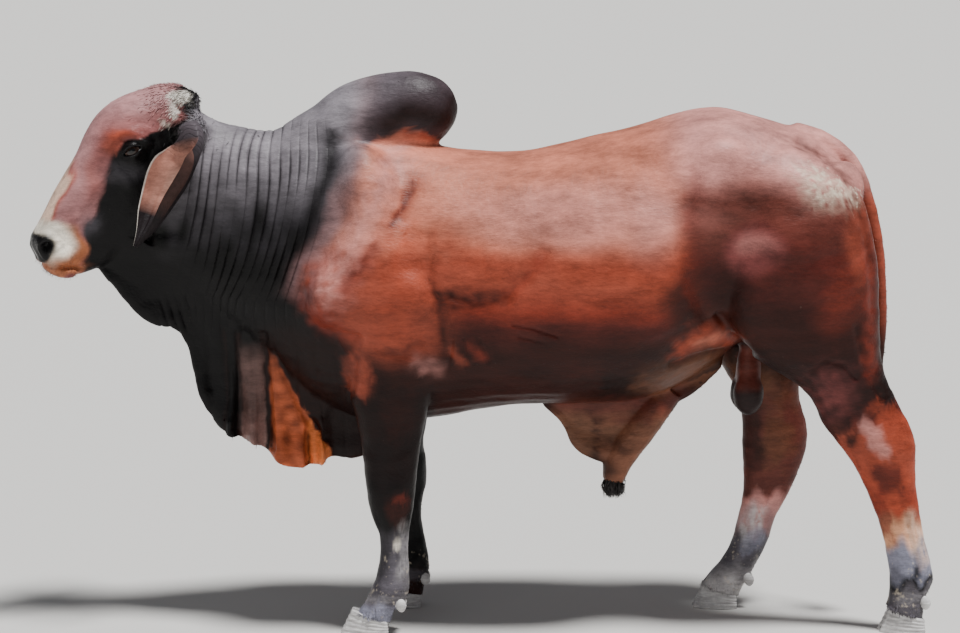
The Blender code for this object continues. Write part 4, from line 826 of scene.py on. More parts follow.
def face_relief(points):
    """Bones, veins, muscle edges, nostril wings and lips of the head."""
    places = head_places(points)
    flat = places[:, (0, 2)]
    lift = np.zeros(len(points))
    side = ramp(0.022, 0.045, np.abs(places[:, 1]))
    add_lines(lift, flat, FACE_LINES, side)
    forward, left, height = places.T
    mouth = MOUTH_HEIGHT + (forward - 0.338) * math.tan(MOUTH_SLOPE)
    lips = ramp(0.290, 0.315, forward)
    lift -= lips * 0.0065 * np.exp(-((height - mouth) / 0.0042) ** 2)
    lift += lips * 0.0020 * np.exp(-((height - mouth - 0.011) / 0.006) ** 2)
    lift += lips * 0.0015 * np.exp(-((height - mouth + 0.010) / 0.006) ** 2)
    lift -= 0.004 * np.exp(-(left / 0.006) ** 2) * ramp(0.405, 0.425, forward) * ramp(1.075, 1.050, height)
    nose = ramp(0.300, 0.330, forward) * ramp(1.150, 1.110, height)
    wrinkles = 1 - np.abs(np.sin(math.pi * (forward + 0.7 * height) / 0.011 + 0.8 * wobble(points, 0.05, 12)))
    lift -= 0.0011 * nose * ramp(0.400, 0.380, forward) * wrinkles ** 2
    for sign in (1.0, -1.0):
        centre = np.array(head_point(NOSTRIL_PLACE[0] - 0.010, sign * NOSTRIL_PLACE[1], NOSTRIL_PLACE[2]))
        out = head_direction(0.62, sign * 0.76, 0.12)
        along = head_direction(-0.62, sign * 0.30, 0.72)
        along = (along - out * along.dot(out)).normalized()
        across = out.cross(along)
        gap = points - centre
        near = (gap ** 2).sum(1) < 0.050 ** 2
        u, v = gap[near] @ np.array(along), gap[near] @ np.array(across)
        bend = v + 9.0 * sign * u ** 2
        ring = np.sqrt((u / 0.0215) ** 2 + (bend / 0.0135) ** 2)
        lift[near] += -0.0210 * ramp(1.05, 0.55, ring) + 0.0034 * np.exp(-((ring - 1.35) / 0.28) ** 2)
    return lift * on_head(points)


def eye_frame(sign):
    """The eye's centre, its line of sight and the two ways across the opening of its lids."""
    forward, left, height = EYE_PLACE
    centre = head_point(forward, sign * left, height)
    ahead, outward, up = EYE_SIGHT
    sight = head_direction(ahead, sign * outward, up)
    length_way = head_direction(1.0, 0.0, math.tan(LID_SLANT))
    length_way = (length_way - sight * length_way.dot(sight)).normalized()
    height_way = sight.cross(length_way)
    return centre, sight, length_way, height_way if height_way.z > 0 else -height_way


def lid_half(share):
    """Half the height of the lids' opening at a place along it, from -1 to 1."""
    return np.clip(1.0 - np.abs(share) ** 2.1, 0.0, 1.0) ** 0.72


def open_eyes(points):
    """Draw the skin tight over each eyeball, open it between the lids and crease it round them."""
    for sign in (1.0, -1.0):
        centre, sight, length_way, height_way = (np.array(way) for way in eye_frame(sign))
        gap = points - centre
        near = ((gap ** 2).sum(1) < 0.085 ** 2) & (gap @ sight > -0.010)
        gap = gap[near]
        u, v, w = gap @ length_way, gap @ height_way, gap @ sight
        spread = np.sqrt(u ** 2 + v ** 2)
        lid = EYE_RADIUS + LID_THICKNESS
        dome = np.sqrt(np.clip(lid ** 2 - spread ** 2, 0.0, None))
        tight = ramp(lid * 1.05, lid * 0.80, spread)
        moved = w + tight * (np.maximum(w * 0.3 + dome * 0.7, dome) - w)
        half_long, half_high = LID_OPENING
        edge = np.abs(v) - half_high * lid_half(u / half_long)
        inside = ramp(0.0012, -0.0014, edge) * (np.abs(u) < half_long)
        floor = np.sqrt(np.clip(EYE_RADIUS ** 2 - spread ** 2, 0.0, None)) - 0.0060
        moved = moved * (1 - inside) + floor * inside
        creases = np.zeros(len(u))
        for radius, depth in EYE_CREASES:
            ring = np.sqrt(u ** 2 + (v * 1.25) ** 2) + 0.0012 * np.sin(u * 180)
            low = np.where(v < 0, 1.0, 0.35 if radius > 0.04 else 1.0)
            creases -= depth * low * np.exp(-((ring - radius) / 0.0026) ** 2)
        outer = ramp(lid * 0.95, lid * 1.15, spread)
        points[near] += ((moved - w + creases * outer))[:, None] * sight
    return points


def set_feet(points):
    """End each leg in a flat slant just inside the rim of its hooves."""
    for limb, (centre_x, centre_y, length) in SOLES.items():
        heel_x = centre_x + length / 2
        slope = math.atan2(HOOF_TOE_HEIGHT - HOOF_HEEL_HEIGHT, length * 0.73)
        down = np.array((-math.sin(slope), 0.0, -math.cos(slope)))
        rim = np.array((heel_x, centre_y, HOOF_HEEL_HEIGHT))
        mine = (points[:, 2] < 0.13) & (points[:, 1] * centre_y > 0)
        mine &= np.abs(points[:, 0] - centre_x) < 0.20
        below = (points - rim) @ down
        points[mine] -= (np.clip(below[mine] - 0.002, 0.0, None))[:, None] * down
    return points


def tone(red, green, blue):
    """A colour named by its screen values, as the shaders count it."""
    def linear(value):
        value = value / 255.0
        return value / 12.92 if value <= 0.04045 else ((value + 0.055) / 1.055) ** 2.4
    return tuple(linear(value) for value in (red, green, blue))


# Ground colours of the trunk from the back down to the belly: height and colour. The pale sunlit red of the
# back is a painted highlight, and the darkening towards the belly is partly the coat's own colour and partly
# painted shade.
TRUNK_GROUND = [(1.360, "sunlit_red"), (1.090, "sunlit_red"), (1.015, "red_coat"), (0.960, "red_coat"),
                (0.880, "deep_red"), (0.845, "maroon"), (0.790, "umber"), (0.740, "black_brown")]
# The same on the rump and the thighs. The rose on top is a painted highlight, and the darkening downwards is
# partly the coat's own colour and partly painted shade.
RUMP_GROUND = [(1.300, "rose"), (1.240, "rose"), (1.180, "dusk"), (1.070, "dusk"), (1.010, "maroon"),
               (0.935, "umber"), (0.860, "black_brown")]
# Markings of the body, laid over each other in this order: colour, centre and half sizes in
# picture places on the near flank, softness of the edge and strength.
BODY_MARKS = [
    # Painted highlight: the sunlit sheen of the back and the upper ribs.
    ("sunlit_red", (470, 185), (60, 40), 0.7, 0.60),
    # Painted highlight: rose glare along the upper ribs.
    ("rose", (580, 215), (110, 26), 0.7, 0.55),
    ("red_coat", (395, 320), (55, 42), 0.45, 0.90),
    ("ember", (600, 262), (60, 16), 0.7, 0.50),
    # Painted highlight: rose glare on the rear of the flank.
    ("rose", (655, 215), (20, 40), 0.6, 0.40),
    ("ember", (660, 268), (22, 24), 0.7, 0.55),
    # Painted shadow: the dark belt on the rear of the flank.
    ("umber", (705, 300), (34, 40), 0.6, 0.85),
    ("umber", (470, 345), (34, 18), 0.8, 0.60),
    # Painted highlight: rose glare over the hip and the loin.
    ("rose", (745, 135), (75, 30), 0.6, 0.60),
    # Painted highlight: rose glare on the top of the rump.
    ("rose", (838, 165), (42, 36), 0.6, 0.80),
    # Painted shade in the hollow before the hip.
    ("dusk", (740, 190), (30, 20), 0.7, 0.60),
    ("maroon", (800, 280), (80, 56), 0.6, 0.88),
    # Painted shade on the lower thigh.
    ("umber", (790, 345), (90, 42), 0.5, 0.95),
    ("umber", (735, 300), (16, 44), 0.7, 0.70),
    ("red_coat", (866, 246), (16, 44), 0.5, 0.70),
    # Painted light on the sunlit stifle.
    ("lit_mauve", (756, 248), (25, 25), 0.5, 0.95),
    # Painted highlight on the stifle.
    ("rose", (758, 240), (14, 10), 0.8, 0.40),
    ("deep_red", (842, 300), (20, 30), 0.7, 0.50),
    # Partly the coat's own dark brown and partly painted shade along the belly.
    ("umber", (560, 392), (190, 34), 0.4, 0.95),
    # Painted light on the skin below the fold of the flank.
    ("belly_tan", (690, 386), (44, 18), 0.5, 0.90),
]
# Strokes over them: colour, line in picture places, half width in picture steps and strength. The dark
# strokes that follow the grooves are painted shade in those creases.
BODY_STROKES = [
    # Painted highlight: rose glare along the shoulder blade.
    ("rose", [(392, 168), (368, 210), (345, 255), (330, 290)], 17, 0.85),
    ("ash_rose", [(350, 195), (325, 240), (311, 275), (306, 300)], 8, 0.60),
    ("ember", [(408, 240), (402, 275), (398, 310), (400, 335)], 22, 0.70),
    ("deep_red", [(416, 182), (404, 208), (372, 248), (345, 286)], 9, 0.60),
    ("maroon", [(413, 186), (402, 211), (392, 224)], 4.0, 0.85),
    ("maroon", [(374, 246), (345, 286)], 5.0, 0.55),
    ("deep_red", [(306, 312), (322, 330), (352, 338)], 8, 0.70),
    ("ember", [(440, 240), (465, 258), (495, 268)], 16, 0.65),
    ("deep_red", [(542, 255), (528, 275), (508, 292)], 8, 0.65),
    ("umber", [(444, 298), (470, 303), (500, 300)], 9, 0.95),
    ("umber", [(427, 279), (437, 300), (443, 332), (445, 353)], 4.0, 0.80),
    ("umber", [(460, 325), (500, 335), (545, 342)], 14, 0.30),
    ("umber", [(383, 352), (400, 356), (418, 344)], 5, 0.65),
    ("red_coat", [(358, 346), (358, 370), (361, 392)], 8, 0.85),
    # Painted highlight on the elbow.
    ("rose", [(418, 366), (434, 372)], 8, 0.50),
    ("umber", [(428, 384), (436, 392)], 5, 0.80),
    ("red_coat", [(450, 350), (463, 366)], 4.5, 0.80),
    ("deep_red", [(468, 346), (484, 358)], 4.5, 0.75),
    ("deep_red", [(697, 178), (690, 220), (692, 270), (700, 300)], 11, 0.35),
    ("umber", [(732, 194), (750, 202)], 11, 0.50),
    ("umber", [(728, 222), (748, 227), (766, 223)], 7, 0.40),
    ("maroon", [(784, 262), (808, 263), (832, 257)], 15, 0.60),
    ("deep_red", [(872, 250), (877, 320), (878, 380)], 8, 0.80),
    # Painted shade under the overhang of the hump.
    ("deep_red", [(402, 134), (425, 139), (440, 145)], 5, 0.70),
    # Painted light on the sunlit fold of the flank, with a painted highlight in it.
    ("ember", [(688, 352), (712, 338), (736, 352)], 12, 1.00),
    ("sunlit_red", [(700, 350), (724, 342)], 6, 0.60),
    ("umber", [(676, 369), (714, 361), (750, 361)], 3.0, 0.80),
    ("umber", [(806, 144), (829, 159), (853, 181), (867, 220), (877, 262)], 5.0, 0.70),
    # Painted light on the sunlit lobe of the gaskin.
    ("lit_mauve", [(841, 392), (841, 404)], 21, 0.80),
    # Painted light on the skin below the fold of the flank.
    ("belly_tan", [(648, 392), (690, 380), (722, 368)], 11, 0.90),
]
# Painted shade in the folds of the dewlap: colour, line in x and z, half width and strength.
DEWLAP_SHADES = [
    ("black_brown", [(-0.677, 0.800), (-0.673, 0.621), (-0.678, 0.514)], 0.0060, 0.90),
    ("black_brown", [(-0.606, 0.800), (-0.599, 0.621), (-0.590, 0.487)], 0.0080, 0.95),
    ("black_brown", [(-0.491, 0.520), (-0.487, 0.434)], 0.0045, 0.80),
    ("black_brown", [(-0.715, 0.809), (-0.709, 0.621), (-0.720, 0.528)], 0.0050, 0.50),
    ("black_brown", [(-0.572, 0.745), (-0.530, 0.660), (-0.484, 0.565), (-0.446, 0.511), (-0.424, 0.480)],
     0.0060, 0.80),
]
# Blotches and folds of the sheath and the skin before the hind legs.
SHEATH_STROKES = [
    ("umber", [(0.283, 0.585), (0.300, 0.510), (0.292, 0.450)], 0.0070, 0.75),
    ("dusk", [(0.200, 0.600), (0.300, 0.590), (0.420, 0.600), (0.520, 0.650)], 0.0240, 0.80),
    ("umber", [(0.330, 0.500), (0.380, 0.470)], 0.0160, 0.50),
    ("dusk", [(0.350, 0.560), (0.440, 0.560)], 0.0140, 0.60),
    ("belly_tan", [(0.460, 0.640), (0.540, 0.690), (0.600, 0.730)], 0.0260, 0.85),
    ("black_brown", [(0.290, 0.450), (0.330, 0.420)], 0.0260, 0.80),
]
# The shaded side of the hump below its overhang: line in x and z, half width and strength.
HUMP_SHADES = [([(-0.268, 1.365), (-0.216, 1.398), (-0.150, 1.390), (-0.094, 1.385), (-0.088, 1.425)],
                0.032, 0.95)]
# Ground colours of each leg by height, and spots on it: height and place from front to rear, then
# half sizes, colour and strength.
LEG_GROUND = {
    "fore_left": [(0.720, "umber"), (0.640, "black_brown"), (0.300, "black_coat"), (0.250, "slate"),
                  (0.090, "slate"), (0.060, "blue_grey")],
    "fore_right": [(0.720, "black_brown"), (0.500, "black_coat"), (0.120, "black_coat"), (0.050, "umber")],
    "hind_left": [(0.760, "black_brown"), (0.640, "black_brown"), (0.585, "maroon"), (0.540, "red_coat"),
                  (0.400, "ember"), (0.335, "ember"), (0.290, "tan"), (0.255, "tan"), (0.226, "blue_grey"),
                  (0.160, "blue_grey"), (0.140, "black_coat"), (0.122, "slate"), (0.060, "slate")],
    # On the far hind leg the rose below the dusk is painted light on the lit lower leg.
    "hind_right": [(0.760, "black_brown"), (0.660, "belly_tan"), (0.560, "dusk"), (0.345, "dusk"),
                   (0.310, "rose"), (0.200, "slate"), (0.150, "slate"), (0.060, "chalk")],
}
LEG_SPOTS = {
    "fore_left": [((0.705, 0.10), (0.055, 0.14), "red_coat", 0.85),
                  ((0.620, 0.62), (0.075, 0.26), "umber", 0.45),
                  ((0.345, 0.62), (0.045, 0.26), "umber", 0.85),
                  ((0.375, 0.70), (0.012, 0.16), "deep_red", 0.50),
                  # Painted light on the lit rear half of the cannon, with a painted highlight down its
                  # middle.
                  ((0.215, 0.84), (0.080, 0.24), "chalk", 0.60),
                  ((0.245, 0.62), (0.022, 0.12), "cream", 0.60),
                  # Painted shade down the front of the cannon.
                  ((0.240, 0.10), (0.100, 0.30), "black_coat", 0.60),
                  ((0.098, 0.40), (0.012, 0.60), "chalk", 0.30)],
    "fore_right": [((0.095, 0.40), (0.018, 0.60), "slate", 0.60)],
    "hind_left": [((0.640, 0.10), (0.120, 0.34), "black_brown", 0.90),
                  ((0.560, 0.80), (0.070, 0.24), "ember", 0.75),
                  # Painted highlight: a glint down the hock.
                  ((0.530, 0.50), (0.055, 0.12), "rose", 0.75),
                  ((0.425, 0.48), (0.042, 0.27), "maroon", 0.85),
                  ((0.370, 0.85), (0.020, 0.16), "deep_red", 0.60),
                  ((0.330, 0.10), (0.070, 0.20), "deep_red", 0.75),
                  # Painted light on the lit rear of the shin.
                  ((0.255, 0.80), (0.075, 0.26), "peach", 0.75),
                  ((0.098, 0.40), (0.016, 0.60), "chalk", 0.30)],
    "hind_right": [((0.700, 0.85), (0.080, 0.30), "umber", 0.60),
                   # Painted highlight: soft light on the middle of the far hind leg.
                   ((0.480, 0.50), (0.080, 0.25), "belly_tan", 0.70),
                   ((0.540, 0.10), (0.120, 0.20), "black_brown", 0.70),
                   # Partly the pale mottled coat and partly painted light on the lit lower leg.
                   ((0.250, 0.35), (0.060, 0.28), "chalk", 0.80),
                   ((0.190, 0.55), (0.030, 0.30), "blue_grey", 0.60),
                   ((0.425, 0.15), (0.050, 0.18), "umber", 0.60)],
}
# Markings of the head, laid over its maroon ground: colour, centre as forward, left and height,
# half sizes, softness and strength.
HEAD_MARKS = [
    # Partly the coat's own pale rose and partly painted light on the sunlit forehead and bridge.
    ("forehead", (0.150, 0.000, 1.450), (0.190, 0.100, 0.100), 0.60, 0.85),
    ("forehead", (0.330, 0.020, 1.250), (0.100, 0.060, 0.190), 0.60, 0.75),
    ("red_coat", (0.232, 0.100, 1.318), (0.030, 0.050, 0.032), 0.70, 0.80),
    ("ember", (0.205, 0.100, 1.345), (0.034, 0.050, 0.010), 0.60, 0.75),
    ("ember", (0.285, 0.100, 1.235), (0.020, 0.050, 0.050), 0.80, 0.35),
    # Painted highlights: grey sheen on the black cheek, low and high.
    ("slate", (0.292, 0.070, 1.105), (0.028, 0.050, 0.030), 0.80, 0.55),
    ("slate", (0.205, 0.090, 1.240), (0.050, 0.050, 0.024), 0.80, 0.50),
    ("muzzle_rim", (0.362, 0.000, 1.042), (0.070, 0.120, 0.076), 0.14, 1.00),
    ("muzzle_rim", (0.365, 0.000, 0.990), (0.082, 0.080, 0.028), 0.20, 0.90),
    ("cream", (0.384, 0.000, 1.062), (0.058, 0.120, 0.058), 0.30, 1.00),
    ("cream", (0.400, 0.000, 1.090), (0.045, 0.120, 0.034), 0.30, 0.90),
    ("black_skin", (0.424, 0.000, 1.046), (0.063, 0.110, 0.044), 0.10, 1.00),
    # Painted shade: a dark strip along the lower lip under the mouth.
    ("black_skin", (0.392, 0.000, 0.981), (0.034, 0.050, 0.006), 0.60, 0.60),
    ("white_hair", (0.042, 0.072, 1.446), (0.029, 0.034, 0.020), 0.15, 1.00),
    ("white_hair", (0.062, 0.085, 1.404), (0.012, 0.034, 0.024), 0.22, 0.95),
    ("cream", (0.088, 0.095, 1.372), (0.013, 0.034, 0.005), 0.50, 0.50),
    ("black_coat", (0.010, 0.085, 1.410), (0.020, 0.034, 0.026), 0.16, 1.00),
    ("black_coat", (0.035, 0.105, 1.380), (0.016, 0.034, 0.012), 0.40, 0.60),
]
# The hump's dark coat ends at this height, by x, and the black of the neck at this x, by height.
HUMP_BORDER = [(-0.520, 1.400), (-0.320, 1.316), (-0.220, 1.360), (-0.165, 1.343), (-0.125, 1.312)]
NECK_BORDER = [(0.40, -0.360), (0.62, -0.358), (0.72, -0.358), (0.80, -0.380), (0.918, -0.482),
               (0.999, -0.461), (1.113, -0.378), (1.235, -0.329), (1.321, -0.318), (1.400, -0.300)]
# The orange lobe of the dewlap ends at this height, by x.
ORANGE_EDGE = [(-0.600, 0.770), (-0.578, 0.742), (-0.540, 0.667), (-0.492, 0.565), (-0.454, 0.511),
               (-0.425, 0.470)]
# The wet nose pad on the head: centre and half sizes.
NOSE_CENTRE, NOSE_SIZES = (0.437, 0.0, 1.055), (0.040, 0.078, 0.042)
# The pale blaze of the bridge starts this far forward, by height.
BLAZE_EDGE = [(1.120, 0.392), (1.160, 0.371), (1.223, 0.344), (1.279, 0.318)]
# The black of the cheek reaches this far forward, by height.
CHEEK_EDGE = [(0.960, 0.290), (1.040, 0.296), (1.107, 0.296), (1.150, 0.270), (1.190, 0.252), (1.240, 0.246),
              (1.266, 0.238), (1.295, 0.226), (1.320, 0.202), (1.340, 0.160), (1.362, 0.095), (1.392, 0.030)]


def mix(colours, other, share):
    """Lay one colour over the array of colours, by a share for each point."""
    return colours + (np.array(other) - colours) * share[:, None]


def ladder(heights, rows, place):
    """Colours between named heights."""
    levels = np.array([row[0] for row in rows][::-1])
    tones = np.array([place[row[1]] for row in rows][::-1])
    return np.stack([np.interp(heights, levels, tones[:, part]) for part in range(3)], 1)


def jitter(points, size, *seeds):
    """Smooth random amounts, one column for each seed."""
    return np.stack([wobble(points, size, seed) for seed in seeds], 1)


def leg_markings(points, colours, place):
    """The ground colours and the blotches of the four legs, some of them painted light and shade."""
    blotch, fleck = jitter(points, 0.060, 51, 52), wobble(points, 0.016, 53)
    z = points[:, 2]
    for limb, rows in LEG_GROUND.items():
        mine, share = leg_places(points, limb, 0.02, 0.78)
        if limb.startswith("fore"):
            reach = ramp(0.715, 0.660, z) * ramp(-0.25, -0.02, share) * ramp(1.15, 1.00, share)
        else:
            reach = ramp(0.775, 0.690, z)
        tones = ladder(z + 0.018 * blotch[:, 0], rows, place)
        colours = colours + (tones - colours) * (mine * reach)[:, None]
        for (level, along), (half_z, half_share), name, strength in LEG_SPOTS[limb]:
            gap = np.sqrt(((z - level) / half_z) ** 2 + ((share - along) / half_share) ** 2)
            gap = gap + 0.26 * blotch[:, 1] + 0.12 * fleck
            rough = np.clip(0.62 + 0.38 * fleck, 0, 1) if name in ("chalk", "peach") else 1.0
            colours = mix(colours, place[name], mine * strength * rough * ramp(1.35, 0.65, gap))
    return colours


def oval(gap, halves, soft):
    """How much of a mark lies on each point: 1 inside the oval, falling to 0 over its soft edge."""
    return ramp(1 + soft, 1 - soft, np.sqrt(((gap / np.array(halves)) ** 2).sum(1)))


def trunk_markings(shifted, normals, place):
    """The ground and the broad markings of the trunk, the belly and the tail, with painted highlights and
    painted shade among them.
    """
    x, y, z = shifted.T
    colours = ladder(z, TRUNK_GROUND, place)
    colours = mix(colours, ladder(z, RUMP_GROUND, place), ramp(0.445, 0.545, x))
    for name, centre, halves, soft, strength in BODY_MARKS:
        gap = shifted[:, (0, 2)] - np.array(flank_place(*centre))
        share = oval(gap, [flank_size(half, 3) for half in halves], soft)
        colours = mix(colours, place[name], strength * share)
    # Painted shade on the downward faces low on the belly.
    belly = ramp(-0.35, -0.85, normals[:, 2]) * ramp(0.78, 0.70, z)
    colours = mix(colours, place["umber"], belly)
    tail = (x > 0.86) & (np.abs(y) < 0.045)
    # Painted highlight: rose glare on the top of the tail's root.
    colours = mix(colours, place["rose"], tail * ramp(1.10, 1.22, z) * 0.5)
    colours = mix(colours, place["red_coat"], tail * ramp(1.22, 1.12, z) * ramp(1.005, 1.02, x) * 0.9)
    return mix(colours, place["umber"], tail * ramp(0.86, 0.74, z) * ramp(1.02, 1.03, x))


def neck_markings(points, shifted, colours, hump, place):
    """The black neck, the painted grey sheen of its nape, and the greyed border along the shoulder."""
    x, y, z = shifted.T
    border = np.interp(z, *zip(*NECK_BORDER))
    neck = ramp(0.014, -0.085, x - border)
    colours = mix(colours, place["black_coat"], neck)
    fade = np.exp(-((x - border + 0.040) / 0.030) ** 2) * ramp(0.86, 0.95, z)
    colours = mix(colours, place["ash_rose"], fade * 0.75)
    streak = 0.5 + 0.5 * wobble(np.stack((x * 3.0, y, z * 0.5), 1), 0.10, 27)
    # Painted highlight: a grey sheen along the upper neck, over the black.
    nape = np.clip(ramp(1.090, 1.330, z + 0.02 * streak), 0, 1)
    colours = mix(colours, place["pale_ash"], neck * nape * (0.75 + 0.15 * streak))
    colours = mix(colours, place["slate"], neck * ramp(0.98, 1.10, z) * ramp(1.22, 1.12, z) * 0.30 * streak)
    shoulder = ramp(0.95, 1.05, z) * ramp(-0.560, -0.500, x) * (1 - hump)
    dark = shoulder * np.exp(-((x - border + 0.105) / 0.036) ** 2)
    return mix(colours, place["black_coat"], dark * 0.9), neck


def stroke_markings(points, shifted, flat, normals, colours, hump, place):
    """Strokes of colour with ragged edges on the flanks, and the shade below the hump."""
    ragged = jitter(points, 0.034, 29, 30)
    for name, picture, steps, strength in BODY_STROKES:
        line, width = flank_line(picture), flank_size(steps, 4)
        near = near_line(flat, line, width) & (np.abs(shifted[:, 1]) > 0.03) & (hump < 0.5)
        moved = flat[near] + 0.30 * width * ragged[near]
        share = strength * line_field(moved, line, width) * (0.82 + 0.18 * ragged[near, 0])
        colours[near] = mix(colours[near], place[name], np.clip(share, 0, 1))
    for line, width, strength in HUMP_SHADES:
        near = near_line(flat, line, width)
        share = strength * line_field(flat[near], line, width) * ramp(0.75, 0.35, normals[near, 2])
        colours[near] = mix(colours[near], place["black_brown"], share)
    return colours


def plain_strokes(flat, colours, rows, allowed, place):
    """Strokes of colour along lines, on the points where they are allowed."""
    for name, line, width, strength in rows:
        near = near_line(flat, line, width) & allowed
        colours[near] = mix(colours[near], place[name], strength * line_field(flat[near], line, width))
    return colours


def dewlap_markings(points, shifted, flat, colours, neck, place):
    """The painted shade on the brisket, the grey lobe and the orange lobe of the dewlap, and the painted
    shade in its folds.
    """
    x, y, z = shifted.T
    px, pz = flat.T
    # Painted shade on the brisket behind the dewlap.
    brisket = neck * ramp(-0.660, -0.600, x) * ramp(0.860, 0.760, z)
    colours = mix(colours, place["black_brown"], brisket)
    lobe_shade = ramp(0.790, 0.700, pz) * ramp(-0.682, -0.672, px) * ramp(-0.604, -0.610, px)
    colours = mix(colours, place["grey_brown"], lobe_shade * (0.50 + 0.50 * ramp(0.62, 0.50, pz)))
    edge = np.interp(px, *zip(*ORANGE_EDGE))
    orange = ramp(0.006, -0.006, pz - edge) * ramp(-0.598, -0.592, px) * ramp(-0.424, -0.430, px)
    mottled = 0.75 + 0.25 * wobble(points, 0.030, 28)
    colours = mix(colours, place["brick"], orange * np.clip(mottled * ramp(0.80, 0.62, pz), 0, 1))
    colours = mix(colours, place["amber"], orange * ramp(-0.500, -0.484, px) * 0.85)
    return plain_strokes(flat, colours, DEWLAP_SHADES, x < -0.35, place)


def sheath_markings(shifted, flat, colours, place):
    """The pale sheath with its folds, and the scrotum."""
    x, y, z = shifted.T
    pale = ramp(0.620, 0.560, z) * ramp(0.150, 0.220, x) * ramp(0.560, 0.470, x)
    colours = mix(colours, place["sheath"], pale * 0.9)
    colours = plain_strokes(flat, colours, SHEATH_STROKES, x > 0.1, place)
    bag = (x > 0.645) & (x < 0.775) & (np.abs(y) < 0.070) & (z < 0.755)
    colours = mix(colours, place["dusk"], bag * ramp(0.755, 0.735, z))
    return mix(colours, place["black_skin"], bag * ramp(0.670, 0.635, z) * 0.9)


def head_markings(points, shifted, steady, place):
    """The face: rose forehead, black cheek, pale blaze and muzzle, and the patches of the poll."""
    ground = np.tile(place["head_coat"], (len(points), 1))
    sideways = np.abs(head_places(shifted)[:, 1])
    mirrored = np.stack((steady[:, 0], np.abs(steady[:, 1]), steady[:, 2]), 1)
    for name, centre, sizes, soft, strength in HEAD_MARKS:
        share = oval(mirrored - np.array(centre), sizes, soft)
        ground = mix(ground, place[name], strength * share)
        if name == "ember":
            cheek = np.interp(steady[:, 2], *zip(*CHEEK_EDGE))
            side = np.maximum(ramp(0.010, 0.030, sideways), ramp(1.16, 1.06, steady[:, 2]))
            shade = ramp(0.012, -0.012, steady[:, 0] - cheek) * side
            ground = mix(ground, place["black_coat"], shade)
    blaze = steady[:, 0] - np.interp(steady[:, 2], *zip(*BLAZE_EDGE))
    window = ramp(1.290, 1.260, steady[:, 2]) * ramp(1.110, 1.130, steady[:, 2])
    ground = mix(ground, place["ember"], window * np.exp(-(blaze / 0.008) ** 2) * 0.7)
    return mix(ground, place["peach"], window * ramp(-0.003, 0.005, blaze))


def mud_patch(x, z, centre_x, centre_z, half_x, half_z):
    """Distance from a slanting patch of mud on the rump, 1 at its edge."""
    slant = z - centre_z + 0.5 * (x - centre_x)
    return np.sqrt(((x - centre_x) / half_x) ** 2 + (slant / half_z) ** 2)


def markings(points, normals, palette):
    """The coat's colour at each point, with how glossy, dusty and wrinkled it is there."""
    shifted = points + 0.012 * jitter(points, 0.18, 21, 22, 23)
    x, y, z = shifted.T
    flat = points[:, (0, 2)] + 0.003 * jitter(points, 0.040, 24, 25)
    place = {key: np.array(value) for key, value in palette.items()}
    colours = trunk_markings(shifted, normals, place)
    colours = leg_markings(points, colours, place)
    hump = ramp(-0.010, 0.008, flat[:, 1] - np.interp(flat[:, 0], *zip(*HUMP_BORDER)))
    hump *= ramp(-0.560, -0.500, x) * ramp(-0.040, -0.070, x)
    colours = mix(colours, place["hump"], hump)
    # Painted highlight: grey sheen on the upward faces of the front of the hump.
    colours = mix(colours, place["ash"], hump * ramp(0.05, 0.75, normals[:, 2]) * ramp(-0.10, -0.30, x) * 0.9)
    colours, neck = neck_markings(points, shifted, colours, hump, place)
    colours = stroke_markings(points, shifted, flat, normals, colours, hump, place)
    colours = dewlap_markings(points, shifted, flat, colours, neck, place)
    colours = sheath_markings(shifted, flat, colours, place)
    head = on_head(points)
    steady = head_places(points + 0.006 * jitter(points, 0.07, 31, 32, 33))
    colours = mix(colours, head_markings(points, shifted, steady, place), head)

    nose = ramp(1.25, 0.80, np.sqrt((((steady - np.array(NOSE_CENTRE)) / np.array(NOSE_SIZES)) ** 2).sum(1)))
    gloss = 0.5 + 0.45 * nose * head
    dust = 0.08 + 1.0 * ramp(1.4, 0.3, mud_patch(x, z, 0.910, 1.210, 0.110, 0.060))
    dust = dust + 0.55 * ramp(0.34, 0.16, z) * (np.abs(y) > 0.05)
    mud = ramp(1.3, 0.3, mud_patch(x, z, 0.880, 1.205, 0.090, 0.048))
    colours = mix(colours, place["mud"], np.clip(mud * (0.42 + 0.35 * wobble(points, 0.018, 54)), 0, 1))
    along, creased = neck_lines(points)
    creased = creased * (1 - head) * (0.4 + 0.6 * ramp(0.78, 0.95, z))
    return colours, np.stack((gloss, np.clip(dust, 0, 1), np.clip(creased, 0, 1)), 1), along


def paint(piece, colours, marks, along=None):
    """Store the markings on the mesh, one colour and one set of amounts for each point."""
    if along is not None:
        piece.data.attributes.new("crease", "FLOAT", "POINT").data.foreach_set("value",
                                                                               along.astype(np.float32))
    for name, values in (("coat", colours), ("marks", marks)):
        layer = piece.data.color_attributes.new(name, "FLOAT_COLOR", "POINT")
        whole = np.ones((len(values), 4), dtype=np.float32)
        whole[:, :3] = values
        layer.data.foreach_set("color", whole.ravel())


def put(tree, kind, place, **values):
    """Add a node with input values."""
    made = tree.nodes.new(kind)
    made.location = place
    for name, value in values.items():
        made.inputs[name.replace("_", " ")].default_value = value
    return made


def shader_group(name, inputs, outputs):
    """An empty shader group with named sockets."""
    tree = bpy.data.node_groups.new(name, "ShaderNodeTree")
    for title, kind, value in inputs:
        socket = tree.interface.new_socket(title, in_out="INPUT", socket_type=kind)
        if value is not None:
            socket.default_value = value
    for title, kind in outputs:
        tree.interface.new_socket(title, in_out="OUTPUT", socket_type=kind)
    start, end = tree.nodes.new("NodeGroupInput"), tree.nodes.new("NodeGroupOutput")
    start.location, end.location = (-900, 0), (700, 0)
    return tree, start, end


